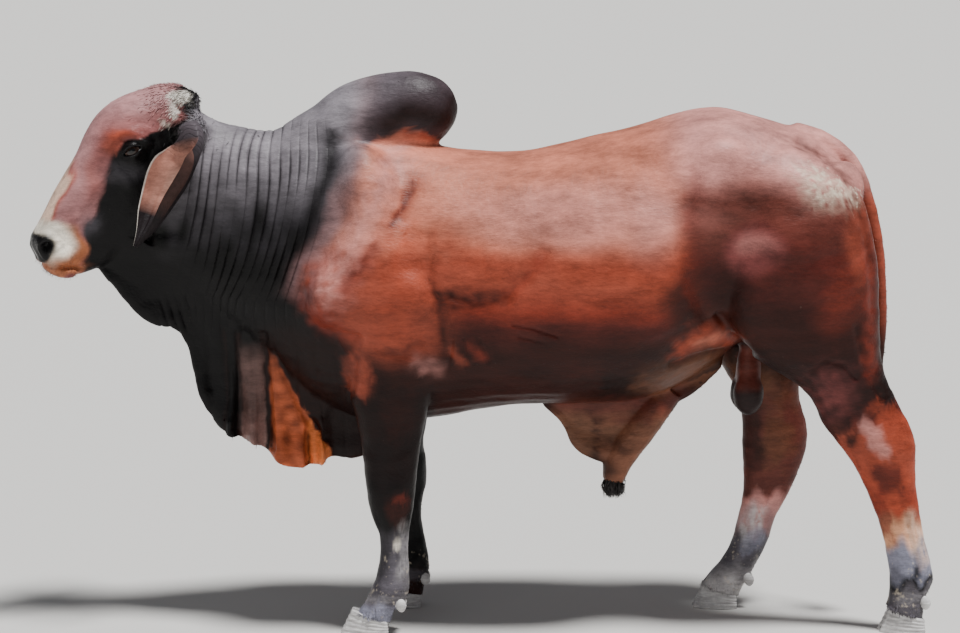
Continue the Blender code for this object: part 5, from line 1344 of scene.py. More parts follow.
def math_node(tree, operation, place, first, second=None, third=None):
    """A maths node with its inputs linked or set."""
    made = tree.nodes.new("ShaderNodeMath")
    made.operation = operation
    made.location = place
    for socket, value in zip(made.inputs, (first, second, third)):
        if isinstance(value, bpy.types.NodeSocket):
            tree.links.new(value, socket)
        elif value is not None:
            socket.default_value = value
    return made.outputs[0]


def read_attribute(tree, name, place):
    """A node that reads an attribute of the mesh."""
    made = put(tree, "ShaderNodeAttribute", place)
    made.attribute_name = name
    return made


def use_group(tree, group, place, vector):
    """A shared group placed in a material, on these coordinates."""
    made = tree.nodes.new("ShaderNodeGroup")
    made.node_tree = group
    made.location = place
    tree.links.new(vector, made.inputs["Vector"])
    return made


def scaled(tree, place, tint, amount):
    """A colour made lighter or darker by an amount."""
    made = put(tree, "ShaderNodeVectorMath", place)
    made.operation = "SCALE"
    tree.links.new(tint, made.inputs[0])
    tree.links.new(amount, made.inputs["Scale"])
    return made.outputs[0]


def ranged(tree, place, source, **values):
    """A value moved from one range into another."""
    made = put(tree, "ShaderNodeMapRange", place, **values)
    tree.links.new(source, made.inputs["Value"])
    return made.outputs[0]


def roughened(tree, shader, place, height, strength, distance):
    """A bump of this height on the surface."""
    bump = put(tree, "ShaderNodeBump", place, Strength=strength, Distance=distance)
    tree.links.new(height, bump.inputs["Height"])
    tree.links.new(bump.outputs[0], shader.inputs["Normal"])


def grain_group():
    """Short hair that lies along the body: a tone between 0 and 1 and a height."""
    tree, start, end = shader_group(
        "hair grain", [("Vector", "NodeSocketVector", None), ("Scale", "NodeSocketFloat", 1.0)],
        [("Tone", "NodeSocketFloat"), ("Height", "NodeSocketFloat")])
    bend = put(tree, "ShaderNodeTexNoise", (-700, -250), Scale=3.0, Detail=2.0)
    lean = put(tree, "ShaderNodeVectorMath", (-500, -200))
    lean.operation = "MULTIPLY_ADD"
    lean.inputs[1].default_value = (0.05, 0.05, 0.05)
    tree.links.new(start.outputs["Vector"], bend.inputs["Vector"])
    tree.links.new(bend.outputs["Color"], lean.inputs[0])
    tree.links.new(start.outputs["Vector"], lean.inputs[2])
    lie = put(tree, "ShaderNodeMapping", (-300, 0), Scale=(55.0, 330.0, 190.0), Rotation=(0.0, 0.35, 0.0))
    tree.links.new(lean.outputs[0], lie.inputs["Vector"])
    hair = put(tree, "ShaderNodeTexNoise", (-100, 0), Detail=3.0, Roughness=0.6)
    tree.links.new(lie.outputs[0], hair.inputs["Vector"])
    tree.links.new(start.outputs["Scale"], hair.inputs["Scale"])
    patch = put(tree, "ShaderNodeTexNoise", (-100, -250), Scale=9.0, Detail=5.0, Roughness=0.62)
    tree.links.new(start.outputs["Vector"], patch.inputs["Vector"])
    strands = math_node(tree, "MULTIPLY", (150, 0), hair.outputs[0], 0.45)
    blotch = math_node(tree, "MULTIPLY", (150, -200), patch.outputs[0], 0.55)
    tree.links.new(math_node(tree, "ADD", (350, -100), strands, blotch), end.inputs["Tone"])
    tree.links.new(hair.outputs[0], end.inputs["Height"])
    return tree


def dust_group():
    """Dried mud and scuffs in broken patches, where an amount asks for them."""
    tree, start, end = shader_group(
        "dried mud", [("Vector", "NodeSocketVector", None), ("Amount", "NodeSocketFloat", 0.0),
                      ("Scale", "NodeSocketFloat", 24.0)], [("Mask", "NodeSocketFloat")])
    patch = put(tree, "ShaderNodeTexNoise", (-600, 100), Detail=9.0, Roughness=0.72)
    flake = put(tree, "ShaderNodeTexVoronoi", (-600, -200), Scale=90.0)
    tree.links.new(start.outputs["Vector"], patch.inputs["Vector"])
    tree.links.new(start.outputs["Scale"], patch.inputs["Scale"])
    tree.links.new(start.outputs["Vector"], flake.inputs["Vector"])
    rough = math_node(tree, "MULTIPLY", (-400, -200), flake.outputs["Distance"], 0.22)
    whole = math_node(tree, "SUBTRACT", (-250, 0), patch.outputs[0], rough)
    lifted = math_node(tree, "MULTIPLY", (-250, 200), start.outputs["Amount"], 0.24)
    level = math_node(tree, "ADD", (-50, 100), whole, lifted)
    sharp = ranged(tree, (150, 100), level, From_Min=0.62, From_Max=0.74)
    gate = math_node(tree, "MULTIPLY", (350, 100), sharp, start.outputs["Amount"])
    tree.links.new(gate, end.inputs["Mask"])
    return tree


def new_material(name):
    """A material with only its Principled shader and output, and its node tree."""
    material = bpy.data.materials.new(name)
    material.use_nodes = True
    return material, material.node_tree, material.node_tree.nodes["Principled BSDF"]


def coat_material(name, colours, grain, dust, relief, roughness=0.42, hair_scale=1.0, folds=True):
    """Short glossy coat over skin: painted markings, hair grain, mud and fine wrinkles, with painted shade in
    their creases.
    """
    material, tree, shader = new_material(name)
    place = put(tree, "ShaderNodeTexCoord", (-1500, 0)).outputs["Object"]
    coat = read_attribute(tree, "coat", (-1500, 400))
    marks = read_attribute(tree, "marks", (-1500, -400))
    amounts = put(tree, "ShaderNodeSeparateColor", (-1300, -400))
    tree.links.new(marks.outputs["Color"], amounts.inputs[0])
    hair = use_group(tree, grain, (-1250, 100), place)
    hair.inputs["Scale"].default_value = hair_scale
    shade = ranged(tree, (-1000, 200), hair.outputs["Tone"], To_Min=0.55, To_Max=1.42)
    along = put(tree, "ShaderNodeMapping", (-1300, 700), Scale=(5.0, 11.0, 15.0))
    tree.links.new(place, along.inputs["Vector"])
    mottle = put(tree, "ShaderNodeTexNoise", (-1100, 700), Scale=1.0, Detail=9.0, Roughness=0.78)
    tree.links.new(along.outputs[0], mottle.inputs["Vector"])
    patch = ranged(tree, (-900, 700), mottle.outputs[0], From_Min=0.38, From_Max=0.62,
                   To_Min=0.66, To_Max=1.34)
    worn = math_node(tree, "MULTIPLY", (-900, 450), shade, patch)
    if folds:
        across = read_attribute(tree, "crease", (-1500, -900))
        turned = math_node(tree, "MULTIPLY", (-1300, -900), across.outputs["Fac"], math.pi)
        swing = math_node(tree, "ABSOLUTE", (-1050, -900),
                          math_node(tree, "SINE", (-1180, -900), turned, 0.0), 0.0)
        narrow = math_node(tree, "SUBTRACT", (-930, -900), 1.0, swing)
        crease = math_node(tree, "MULTIPLY", (-700, -900),
                           math_node(tree, "POWER", (-800, -900), narrow, 4.0), amounts.outputs[2])
        # Painted shade: the base colour is darkened in the creases of the wrinkles.
        worn = math_node(tree, "MULTIPLY", (-500, 450), worn,
                         math_node(tree, "MULTIPLY_ADD", (-600, 450), crease, -0.85, 1.0))
    mud = use_group(tree, dust, (-1000, -200), place)
    tree.links.new(amounts.outputs[1], mud.inputs["Amount"])
    cover = put(tree, "ShaderNodeMix", (-550, 250))
    cover.data_type = "RGBA"
    cover.inputs[7].default_value = (*colours["mud"], 1.0)
    part = math_node(tree, "MULTIPLY", (-700, 0), mud.outputs["Mask"], 0.75)
    tree.links.new(part, cover.inputs[0])
    tree.links.new(scaled(tree, (-800, 300), coat.outputs["Color"], worn), cover.inputs[6])
    tree.links.new(cover.outputs[2], shader.inputs["Base Color"])
    dull = math_node(tree, "MULTIPLY", (-700, -350), hair.outputs["Tone"], 0.22)
    gloss = math_node(tree, "MULTIPLY", (-700, -500), amounts.outputs[0], -0.36)
    level = math_node(tree, "ADD", (-500, -400), dull, gloss)
    level = math_node(tree, "ADD", (-350, -400), level, roughness + 0.07)
    muddy = math_node(tree, "MULTIPLY", (-350, -550), mud.outputs["Mask"], 0.35)
    tree.links.new(math_node(tree, "ADD", (-180, -450), level, muddy), shader.inputs["Roughness"])
    height = math_node(tree, "MULTIPLY", (-700, -700), hair.outputs["Height"], 0.55)
    if folds:
        height = math_node(tree, "MULTIPLY_ADD", (-550, -800), crease, -2.2, height)
    lump = put(tree, "ShaderNodeTexNoise", (-1000, -1150), Scale=34.0, Detail=4.0)
    tree.links.new(place, lump.inputs["Vector"])
    height = math_node(tree, "ADD", (-350, -850), height, lump.outputs[0])
    roughened(tree, shader, (-180, -750), height, relief, 0.004)
    shader.inputs["Specular IOR Level"].default_value = 0.17
    return material


def horn_material(name, pale, dark, stretch, relief, roughness):
    """Grey horn with growth rings, streaks and grime."""
    material, tree, shader = new_material(name)
    place = put(tree, "ShaderNodeTexCoord", (-1200, 0)).outputs["Object"]
    way = put(tree, "ShaderNodeMapping", (-1000, 0), Scale=stretch, Rotation=(0.0, 0.25, 0.0))
    tree.links.new(place, way.inputs["Vector"])
    rings = put(tree, "ShaderNodeTexNoise", (-800, 150), Scale=1.0, Detail=4.0)
    grime = put(tree, "ShaderNodeTexNoise", (-800, -150), Scale=34.0, Detail=8.0, Roughness=0.7)
    tree.links.new(way.outputs[0], rings.inputs["Vector"])
    tree.links.new(place, grime.inputs["Vector"])
    both = math_node(tree, "ADD", (-600, 0), rings.outputs[0], grime.outputs[0])
    tones = put(tree, "ShaderNodeValToRGB", (-400, 100))
    tones.color_ramp.elements[0].position = 0.36
    tones.color_ramp.elements[0].color = (*dark, 1.0)
    tones.color_ramp.elements[1].position = 0.62
    tones.color_ramp.elements[1].color = (*pale, 1.0)
    tree.links.new(math_node(tree, "MULTIPLY", (-500, 100), both, 0.5), tones.inputs[0])
    tree.links.new(tones.outputs[0], shader.inputs["Base Color"])
    level = math_node(tree, "MULTIPLY", (-400, -150), grime.outputs[0], 0.35)
    tree.links.new(math_node(tree, "ADD", (-200, -150), level, roughness), shader.inputs["Roughness"])
    roughened(tree, shader, (-200, -350), both, relief, 0.003)
    return material


def eye_material(colours):
    """A wet dark eye: near-black pupil, dark brown iris and a thin brownish white at the corners."""
    material, tree, shader = new_material("wet eye")
    where = read_attribute(tree, "coat", (-900, 0))
    haze = put(tree, "ShaderNodeTexNoise", (-900, -250), Scale=260.0, Detail=3.0)
    place = put(tree, "ShaderNodeTexCoord", (-1100, -250)).outputs["Object"]
    tree.links.new(place, haze.inputs["Vector"])
    shade = ranged(tree, (-650, -200), haze.outputs[0], To_Min=0.7, To_Max=1.3)
    tree.links.new(scaled(tree, (-400, 0), where.outputs["Color"], shade), shader.inputs["Base Color"])
    shader.inputs["Roughness"].default_value = 0.06
    shader.inputs["Coat Weight"].default_value = 0.35
    shader.inputs["Coat Roughness"].default_value = 0.02
    shader.inputs["Specular IOR Level"].default_value = 0.3
    return material


def hair_material(name, grain, roughness):
    """Coarse hair in locks, darker at the root and worn paler at the tip."""
    material, tree, shader = new_material(name)
    place = put(tree, "ShaderNodeTexCoord", (-900, 0)).outputs["Object"]
    coat = read_attribute(tree, "coat", (-900, 300))
    hair = use_group(tree, grain, (-700, 0), place)
    hair.inputs["Scale"].default_value = 2.0
    shade = ranged(tree, (-500, 0), hair.outputs["Tone"], To_Min=0.45, To_Max=1.6)
    tree.links.new(scaled(tree, (-300, 200), coat.outputs["Color"], shade), shader.inputs["Base Color"])
    level = math_node(tree, "MULTIPLY", (-500, -300), hair.outputs["Tone"], 0.25)
    tree.links.new(math_node(tree, "ADD", (-300, -300), level, roughness), shader.inputs["Roughness"])
    roughened(tree, shader, (-300, -500), hair.outputs["Height"], 0.5, 0.002)
    return material


def finished(piece, material, slot, *nodes):
    """Shift a finished piece into its place, smooth it, and hand it to the frame."""
    piece.data.transform(Matrix.Translation((SHIFT_X, 0.0, 0.0)))
    piece.data.materials.clear()
    piece.data.materials.append(material)
    select_only(piece)
    bpy.ops.object.shade_smooth()
    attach(piece, "root")
    if nodes:
        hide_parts(*nodes)
    return piece


def keep_largest(piece):
    """Drop loose scraps and sealed hollows: only the largest surface stays."""
    select_only(piece)
    bpy.ops.object.mode_set(mode="EDIT")
    bpy.ops.mesh.select_all(action="SELECT")
    bpy.ops.mesh.separate(type="LOOSE")
    bpy.ops.object.mode_set(mode="OBJECT")
    parts = sorted(bpy.context.selected_objects, key=lambda part: len(part.data.vertices))
    for scrap in parts[:-1]:
        bpy.data.objects.remove(scrap)
    return parts[-1]


def sculpted_skin(sizes, palette):
    """The whole skin with its muscles, wrinkles, face and markings."""
    skin = grown_skin(sizes)
    points, normals = read(skin.data, "co"), read(skin.data, "normal")
    head = on_head(points)
    lift = body_relief(points, normals) * (1.0 - head)
    lift += neck_relief(points) * (1.0 - head)
    lift += leg_relief(points) + face_relief(points) - sizes.coat_depth
    points = open_eyes(points + normals * lift[:, None])
    write(skin.data, set_feet(points))
    faces = len(skin.data.polygons) * 2
    apply_modifier(skin, "DECIMATE", ratio=min(1.0, sizes.skin_triangles / faces))
    skin = keep_largest(skin)
    skin.name = skin.data.name = "hide"
    points, normals = read(skin.data, "co"), read(skin.data, "normal")
    paint(skin, *markings(points, normals, palette))
    return skin


def ear_side(sign):
    """The way an ear leaves the head."""
    return head_direction(-0.10, sign * 1.0, -0.30)


def ear_leaf(name, sign, sizes, palette):
    """A long hanging ear: a thin leaf rolled into a cup, with a curled rear edge and inner ridges."""
    steps, arc = sizes.ear_steps, sizes.ear_arc
    rows = smooth_rows(EAR, steps)
    rows = [tuple(a - (b - a) * 0.8 * (3 - k) / 3 for a, b in zip(rows[0], rows[4])) for k in range(3)] + rows
    points, colours, amounts, lines = [], [], [], []
    back, inside, rim = (np.array(palette[key]) for key in ("ear_back", "ear_inner", "ear_rim"))
    ash, white = np.array(palette["ash"]), np.array(palette["white_hair"])
    for index, (forward, left, height, width, cup) in enumerate(rows):
        along_share = max(index - 3, 0) / steps
        centre = head_point(forward, sign * left, height)
        before, after = rows[max(index - 1, 0)], rows[min(index + 1, len(rows) - 1)]
        along = (head_point(after[0], sign * after[1], after[2])
                 - head_point(before[0], sign * before[1], before[2])).normalized()
        along = along.lerp(ear_side(sign), max(0.0, 1.0 - along_share / 0.6)).normalized()
        opening = head_direction(1.5, sign * 1.0, 0.0)
        opening = (opening - along * opening.dot(along)).normalized()
        across = along.cross(opening) * sign
        full = min(1.0, max(0.0, (2.1 - along_share) / 1.2))
        wave = 0.0016 * math.sin(along_share * 2.4 + 1.0)
        outer, inner, outer_tones, inner_tones = [], [], [], []
        for step in range(arc):
            angle = math.pi * (step / (arc - 1) - 0.5)
            sweep, bow = math.sin(angle), math.cos(angle)
            leaf = 1.0 - full
            curl = max(0.0, -sweep - 0.72) / 0.28 * leaf
            edge = centre + across * (sweep * width / 2 + 0.020 * curl ** 2 * width / 0.13)
            edge += opening * (0.016 * curl ** 1.5 * min(1.0, width / 0.10) + wave * sweep ** 3)
            wall = sizes.ear_wall * (0.35 + 0.65 * bow)
            deep = cup * bow
            ridge = leaf * bow * (0.0016 * math.sin(sweep * 11.0 + along_share * 0.7)
                                  + 0.0008 * math.sin(sweep * 23.0 + along_share))
            outer.append(edge - opening * (deep + full * 0.030 * bow + wall * leaf))
            inner.append(edge + opening * (-deep + full * 0.034 * bow + ridge))
            near_edge = max(0.0, abs(sweep) - 0.988) / 0.012
            fold = math.exp(-((sweep + 0.76) / 0.022) ** 2) * leaf
            tone_out = back + (ash - back) * (0.75 * max(0.0, 1.0 - along_share / 2.2))
            tone_out = tone_out + (rim - tone_out) * (0.5 if sweep > 0 else 0.0) * near_edge
            warm = min(1.0, max(0.0, (along_share - 1.0) / 0.5)) * min(1.0,
                                                                       max(0.0, (5.4 - along_share) / 1.0))
            behind = 0.9 * min(1.0, max(0.0, -sweep - 0.77) / 0.05) * leaf
            tone_in = tone_out + (inside - tone_out) * warm * (1.0 - behind)
            pale = math.exp(-((sweep - 0.10) / 0.35) ** 2 - ((along_share - 3.2) / 1.3) ** 2)
            tone_in = tone_in + (rim - tone_in) * 0.35 * pale * warm
            edge_tone = rim if sweep < 0 else white
            share = min(1.0, near_edge * 1.4) * (leaf if sweep > 0 else 0.0) + 0.6 * fold * warm
            tone_in = tone_in + (edge_tone - tone_in) * min(1.0, share)
            outer_tones.append(tone_out)
            inner_tones.append(tone_in)
        points.append(outer + inner[::-1])
        colours += outer_tones + inner_tones[::-1]
        amounts += [(0.40, 0.0, 0.55 * min(1.0, max(0.0, 2.0 - along_share)))] * (2 * arc)
        lines += [along_share * 4.2 + 0.35 * math.sin(step * 0.21) for step in range(2 * arc)]
    ear = loft(name, points)
    paint(ear, np.array(colours), np.array(amounts), np.array(lines))
    apply_modifier(ear, "SUBSURF", levels=1, render_levels=1)
    return ear


def eyeball(name, sign, palette):
    """A ball with an oval pupil and a dark brown iris that faces out between the lids."""
    centre, sight, length_way, height_way = eye_frame(sign)
    ball = lobe(name, centre, (EYE_RADIUS,) * 3, 0.0, 96, 64)
    points = read(ball.data, "co")
    gap = points - np.array(centre)
    u, v, w = gap @ np.array(length_way), gap @ np.array(height_way), gap @ np.array(sight)
    cornea = np.clip(1.0 - np.sqrt(u ** 2 + v ** 2) / 0.0165, 0.0, 1.0) * (w > 0)
    write(ball.data, points + np.array(sight) * (0.0028 * cornea ** 0.8)[:, None])
    colours = np.tile(palette["eye_white"], (len(points), 1))
    iris = ramp(0.0172, 0.0158, np.sqrt(u ** 2 + v ** 2)) * (w > 0)
    colours = mix(colours, palette["iris"], iris)
    pupil = ramp(1.15, 0.92, np.sqrt((u / 0.0092) ** 2 + (v / 0.0058) ** 2)) * (w > 0)
    colours = mix(colours, palette["pupil"], pupil)
    paint(ball, colours, np.tile((1.0, 0.0, 0.0), (len(points), 1)))
    return ball


def lid_point(sign, share, above, radius, out=0.0):
    """A place on the edge of the lids: share along it from -1 to 1, on the upper or the lower lid."""
    centre, sight, length_way, height_way = eye_frame(sign)
    half_long, half_high = LID_OPENING
    u = half_long * share
    v = (half_high * float(lid_half(np.array(share))) + out) * (1.0 if above else -1.0)
    w = math.sqrt(max(radius ** 2 - u ** 2 - v ** 2, (radius * 0.35) ** 2))
    return centre + length_way * u + height_way * v + sight * w


def lid_rims(name, sign, palette):
    """The wet dark margin round each eye, one closed ring."""
    count, sides = 72, 10
    centre, sight, length_way, height_way = eye_frame(sign)
    rings = []
    for index in range(count):
        angle = 2 * math.pi * index / count
        share, above = math.cos(angle), math.sin(angle) >= 0
        middle = lid_point(sign, share * 0.995, above, EYE_RADIUS + 0.0022)
        side = (middle - centre).normalized()
        way = (lid_point(sign, math.cos(angle + 0.05) * 0.995, math.sin(angle + 0.05) >= 0, EYE_RADIUS)
               - lid_point(sign, math.cos(angle - 0.05) * 0.995, math.sin(angle - 0.05) >= 0, EYE_RADIUS))
        way = way.normalized() if way.length > 1e-6 else height_way
        flat = way.cross(side).normalized()
        thick = 0.0034 if above else 0.0026
        rings.append([middle + side * math.cos(2 * math.pi * k / sides) * thick
                      + flat * math.sin(2 * math.pi * k / sides) * thick * 0.9 for k in range(sides)])
    points = [point for ring in rings for point in ring]
    faces = [(a * sides + k, a * sides + (k + 1) % sides, b * sides + (k + 1) % sides, b * sides + k)
             for a in range(count) for b in ((a + 1) % count,) for k in range(sides)]
    rim = mesh_object(name, points, faces)
    paint(rim, np.tile(palette["lid"], (len(points), 1)), np.tile((0.9, 0.0, 0.1), (len(points), 1)))
    return rim


def hair_mesh(name, paths, flats, widths, thickness, colours, places):
    """Flat tapered locks along paths as one mesh, each with its own small patch in the bake map.

    The paths are an array of locks by points by 3, and the places are where each root lies on an
    unwrap of the form that it grows from.
    """
    count, rows = paths.shape[:2]
    ahead = np.gradient(paths, axis=1)
    ahead /= np.linalg.norm(ahead, axis=2, keepdims=True)
    across = np.cross(ahead, flats[:, None, :])
    across /= np.linalg.norm(across, axis=2, keepdims=True) + 1e-9
    thin = np.cross(across, ahead)
    share = np.linspace(0.0, 1.0, rows)
    swell = np.sin(np.pi * np.minimum(0.30 + 0.70 * share, 0.97)) ** 0.8
    half = widths[:, None, None] * swell[None, :, None] / 2
    deep = thickness[:, None, None] * (1.05 - share)[None, :, None] / 2
    rings = np.stack((paths - across * half, paths + thin * deep, paths + across * half,
                      paths - thin * deep), 2)
    points = rings.reshape(-1, 3)
    faces = []
    for lock in range(count):
        base = lock * rows * 4
        for row in range(rows - 1):
            low = base + row * 4
            faces += [(low + side, low + (side + 1) % 4, low + 4 + (side + 1) % 4, low + 4 + side)
                      for side in range(4)]
        faces += [(base + 3, base + 2, base + 1, base),
                  tuple(base + rows * 4 - 4 + side for side in range(4))]
    hair = mesh_object(name, points, faces)
    tones = np.repeat(colours[:, None, :], rows * 4, axis=1)
    lift = np.tile(np.repeat(0.75 + 0.55 * share, 4), count)[:, None]
    paint(hair, tones.reshape(-1, 3) * lift, np.tile((0.5, 0.0, 0.0), (len(points), 1)))
    layer = hair.data.uv_layers.new(name="OFBake")
    corner = np.empty(len(hair.data.loops), dtype=np.int32)
    hair.data.loops.foreach_get("vertex_index", corner)
    lock, spot = corner // (rows * 4), corner % (rows * 4)
    flat = places[lock] + 0.003 * np.stack(((spot % 4) / 3.0, (spot // 4) / (rows - 1.0)), 1)
    layer.data.foreach_set("uv", flat.astype(np.float32).ravel())
    return hair


def scattered(skin, weight, count, seed):
    """Random places on the skin where the weight allows them: points, normals and colours."""
    mesh = skin.data
    mesh.calc_loop_triangles()
    corners = np.empty(len(mesh.loop_triangles) * 3, dtype=np.int32)
    mesh.loop_triangles.foreach_get("vertices", corners)
    corners = corners.reshape(-1, 3)
    points, normals = read(mesh, "co"), read(mesh, "normal")
    tones = np.empty(len(points) * 4, dtype=np.float32)
    mesh.color_attributes["coat"].data.foreach_get("color", tones)
    tones = tones.reshape(-1, 4)[:, :3].astype(np.float64)
    a, b, c = (points[corners[:, side]] for side in range(3))
    area = np.linalg.norm(np.cross(b - a, c - a), axis=1) / 2
    amount = weight(points, normals)
    chance = area * amount[corners].mean(1)
    draw = np.random.default_rng(seed)
    chosen = draw.choice(len(corners), size=count, p=chance / chance.sum())
    first, second = draw.random(count), draw.random(count)
    over = first + second > 1
    first[over], second[over] = 1 - first[over], 1 - second[over]
    parts = np.stack((1 - first - second, first, second), 1)[:, :, None]
    pick = corners[chosen]
    place = (points[pick] * parts).sum(1)
    normal = (normals[pick] * parts).sum(1)
    normal /= np.linalg.norm(normal, axis=1, keepdims=True)
    return place, normal, (tones[pick] * parts).sum(1)


def tufts(name, roots, normals, tones, lies, length, width, lift, seed, rows=4):
    """Short tufts that leave the skin along their lie and stand off it a little."""
    draw = np.random.default_rng(seed)
    count = len(roots)
    lies = lies + draw.normal(0.0, 0.22, (count, 3))
    lies -= normals * (lies * normals).sum(1)[:, None]
    lies /= np.linalg.norm(lies, axis=1, keepdims=True)
    reach = length * draw.uniform(0.6, 1.1, count)[:, None]
    share = np.linspace(0.0, 1.0, rows)
    paths = [roots - normals * 0.0015 + lies * reach * step
             + normals * reach * lift * (step ** 1.3) for step in share]
    tones = tones * draw.uniform(0.75, 1.25, (count, 1))
    angle = np.arctan2(roots[:, 1], roots[:, 2] - 0.95) / (2 * math.pi) + 0.5
    places = np.stack((0.01 + 0.97 * (roots[:, 0] + 1.25) / 2.5, 0.01 + 0.97 * angle), 1)
    return hair_mesh(name, np.stack(paths, 1), normals, width * draw.uniform(0.7, 1.3, count),
                     width * 0.4 * np.ones(count), tones, places)


def tassel(name, core, count, end, spread, sizes, tone, seed):
    """Long hair round a core: many thin locks that overlap, sway and end at different heights."""
    draw = np.random.default_rng(seed)
    width, thickness, rows = sizes
    around = np.arange(count) * 2.399963 + draw.uniform(-0.2, 0.2, count)
    level = np.sqrt(draw.random(count))
    heights = np.linspace(0.0, 1.0, len(core))
    centres = np.stack([np.interp(level, heights, [place[0][k] for place in core]) for k in range(3)], 1)
    radius = np.interp(level, heights, [place[1] for place in core])
    out = np.stack((np.cos(around), np.sin(around), np.zeros(count)), 1)
    start = centres + out * (radius * 0.8)[:, None]
    reach = (start[:, 2] - end) * draw.uniform(0.62, 1.0, count)
    share = np.linspace(0.0, 1.0, rows)
    sway = (radius * 0.35 + spread)[:, None] * np.sin(np.pi * np.minimum(share, 0.75))[None, :]
    sway = sway * draw.uniform(0.4, 1.0, (count, 1))
    bend = draw.normal(0.0, 0.006, (count, 3))
    bend[:, 2] = 0.0
    paths = start[:, None, :] + out[:, None, :] * sway[:, :, None]
    paths = paths - np.array((0.0, 0.0, 1.0)) * (reach[:, None] * share[None, :])[:, :, None]
    paths += bend[:, None, :] * np.sin(share * 5.0 + around[:, None])[:, :, None]
    tones = np.array(tone) * draw.uniform(0.6, 1.4, (count, 1))
    places = np.stack((0.01 + 0.97 * (around / (2 * math.pi) % 1.0), 0.01 + 0.97 * level), 1)
    return hair_mesh(name, paths, out, width * draw.uniform(0.7, 1.3, count),
                     thickness * np.ones(count), tones, places)


def hoof_claw(name, toe_x, heel_x, inner_y, outer_y, sides=44):
    """One half of a cloven hoof with growth rings, a flat worn sole and a slanting upper rim."""
    length, width = toe_x - heel_x, outer_y - inner_y
    rings = []
    for row in range(25):
        level = row / 24
        draw_in = 1.0 - 0.10 * level ** 1.4
        set_back = 0.27 * level ** 0.9
        bulge = 0.0009 * math.sin(level * 31.0) + 0.0006 * math.sin(level * 73.0 + 1.0)
        rounding = 0.0022 * max(0.0, 1.0 - level / 0.06)
        ring = []
        for index in range(sides):
            angle = 2 * math.pi * index / sides
            along = 0.5 + 0.5 * power_wave(math.cos(angle), 2.3)
            across = 0.5 + 0.5 * power_wave(math.sin(angle), 2.6)
            narrow = 1.0 - 0.42 * along ** 3
            x = heel_x + length * along * (1.0 - set_back) + length * 0.02 * level
            y = inner_y + width * (across * narrow * draw_in + 0.04 * (1 - draw_in))
            x += (bulge - rounding - 0.0012) * math.cos(angle) * math.copysign(1.0, length)
            y += (bulge - rounding - 0.0012) * math.sin(angle) * math.copysign(1.0, width)
            rim = HOOF_HEEL_HEIGHT + (HOOF_TOE_HEIGHT - HOOF_HEEL_HEIGHT) * along
            ring.append(Vector((x, y, rim * level)))
        rings.append(ring)
    return loft(name, rings)


def dew_claw(name, centre):
    """A small blunt horny claw at the back of the pastern, pointed downwards and ringed."""
    sizes = (DEWCLAW_RADIUS, DEWCLAW_RADIUS * 0.85, DEWCLAW_RADIUS * 1.35)
    claw = lobe(name, centre, sizes, -28.0, 40, 32)
    points = read(claw.data, "co")
    gap = points - np.array(centre)
    down = -gap[:, 2] / sizes[2]
    narrow = 1.0 - 0.22 * np.clip(down, 0.0, 1.0)
    ring = 1.0 + 0.015 * np.sin(down * 14.0)
    gap[:, :2] *= (narrow * ring)[:, None]
    write(claw.data, np.array(centre) + gap * 0.985)
    return claw


def scur(name, centre, seed):
    """A low crusty horn bud that never grew into a horn."""
    bud = lobe(name, centre, HORN_BUD_SIZES, 0.0, 56, 40)
    points, normals = read(bud.data, "co"), read(bud.data, "normal")
    rough = 0.0022 * wobble(points, 0.014, seed) + 0.0010 * wobble(points, 0.006, seed + 1) - 0.0026
    write(bud.data, points + normals * rough[:, None])
    return bud


def colour(title, note, red, green, blue):
    """A colour property named by its screen values."""
    return bpy.props.FloatVectorProperty(name=title, description=note, subtype="COLOR", size=3,
                                         min=0.0, max=1.0, default=tone(red, green, blue))


def length(title, note, value):
    """A length property in metres."""
    return bpy.props.FloatProperty(name=title, description=note, default=value, min=0.0,
                                   precision=4, unit="LENGTH")


def number(title, note, value):
    """A whole-number property."""
    return bpy.props.IntProperty(name=title, description=note, default=value, min=1)


class BullSizes(bpy.types.PropertyGroup):
    """Sizes and counts that a user may change."""
    skin_voxel: length("Skin voxel", "Size of the cells that the skin is grown from", 0.0035)
    skin_relax: number("Skin relaxing", "Rounds of smoothing after the skin is grown", 16)
    trunk_relax: number("Trunk relaxing", "Further rounds that melt the muscles of the trunk together", 110)
    withers_relax: number("Withers relaxing", "Rounds that melt the hump into the shoulders", 160)
    skin_triangles: number("Skin triangles", "Most triangles that the skin keeps", 188000)
    coat_depth: length("Coat depth", "How deep the skin lies inside the outline", 0.0010)
    ear_wall: length("Ear thickness", "Thickness of an ear at its middle", 0.0060)
    ear_steps: number("Ear rows", "Rows between the named sections of an ear", 7)
    ear_arc: number("Ear points", "Points across an ear", 61)
    switch_locks: number("Tail locks", "Locks in the switch of the tail", 900)
    sheath_locks: number("Sheath locks", "Locks in the tuft of the sheath", 260)
    short_tufts: number("Short tufts", "Tufts on each patch of short hair", 3000)


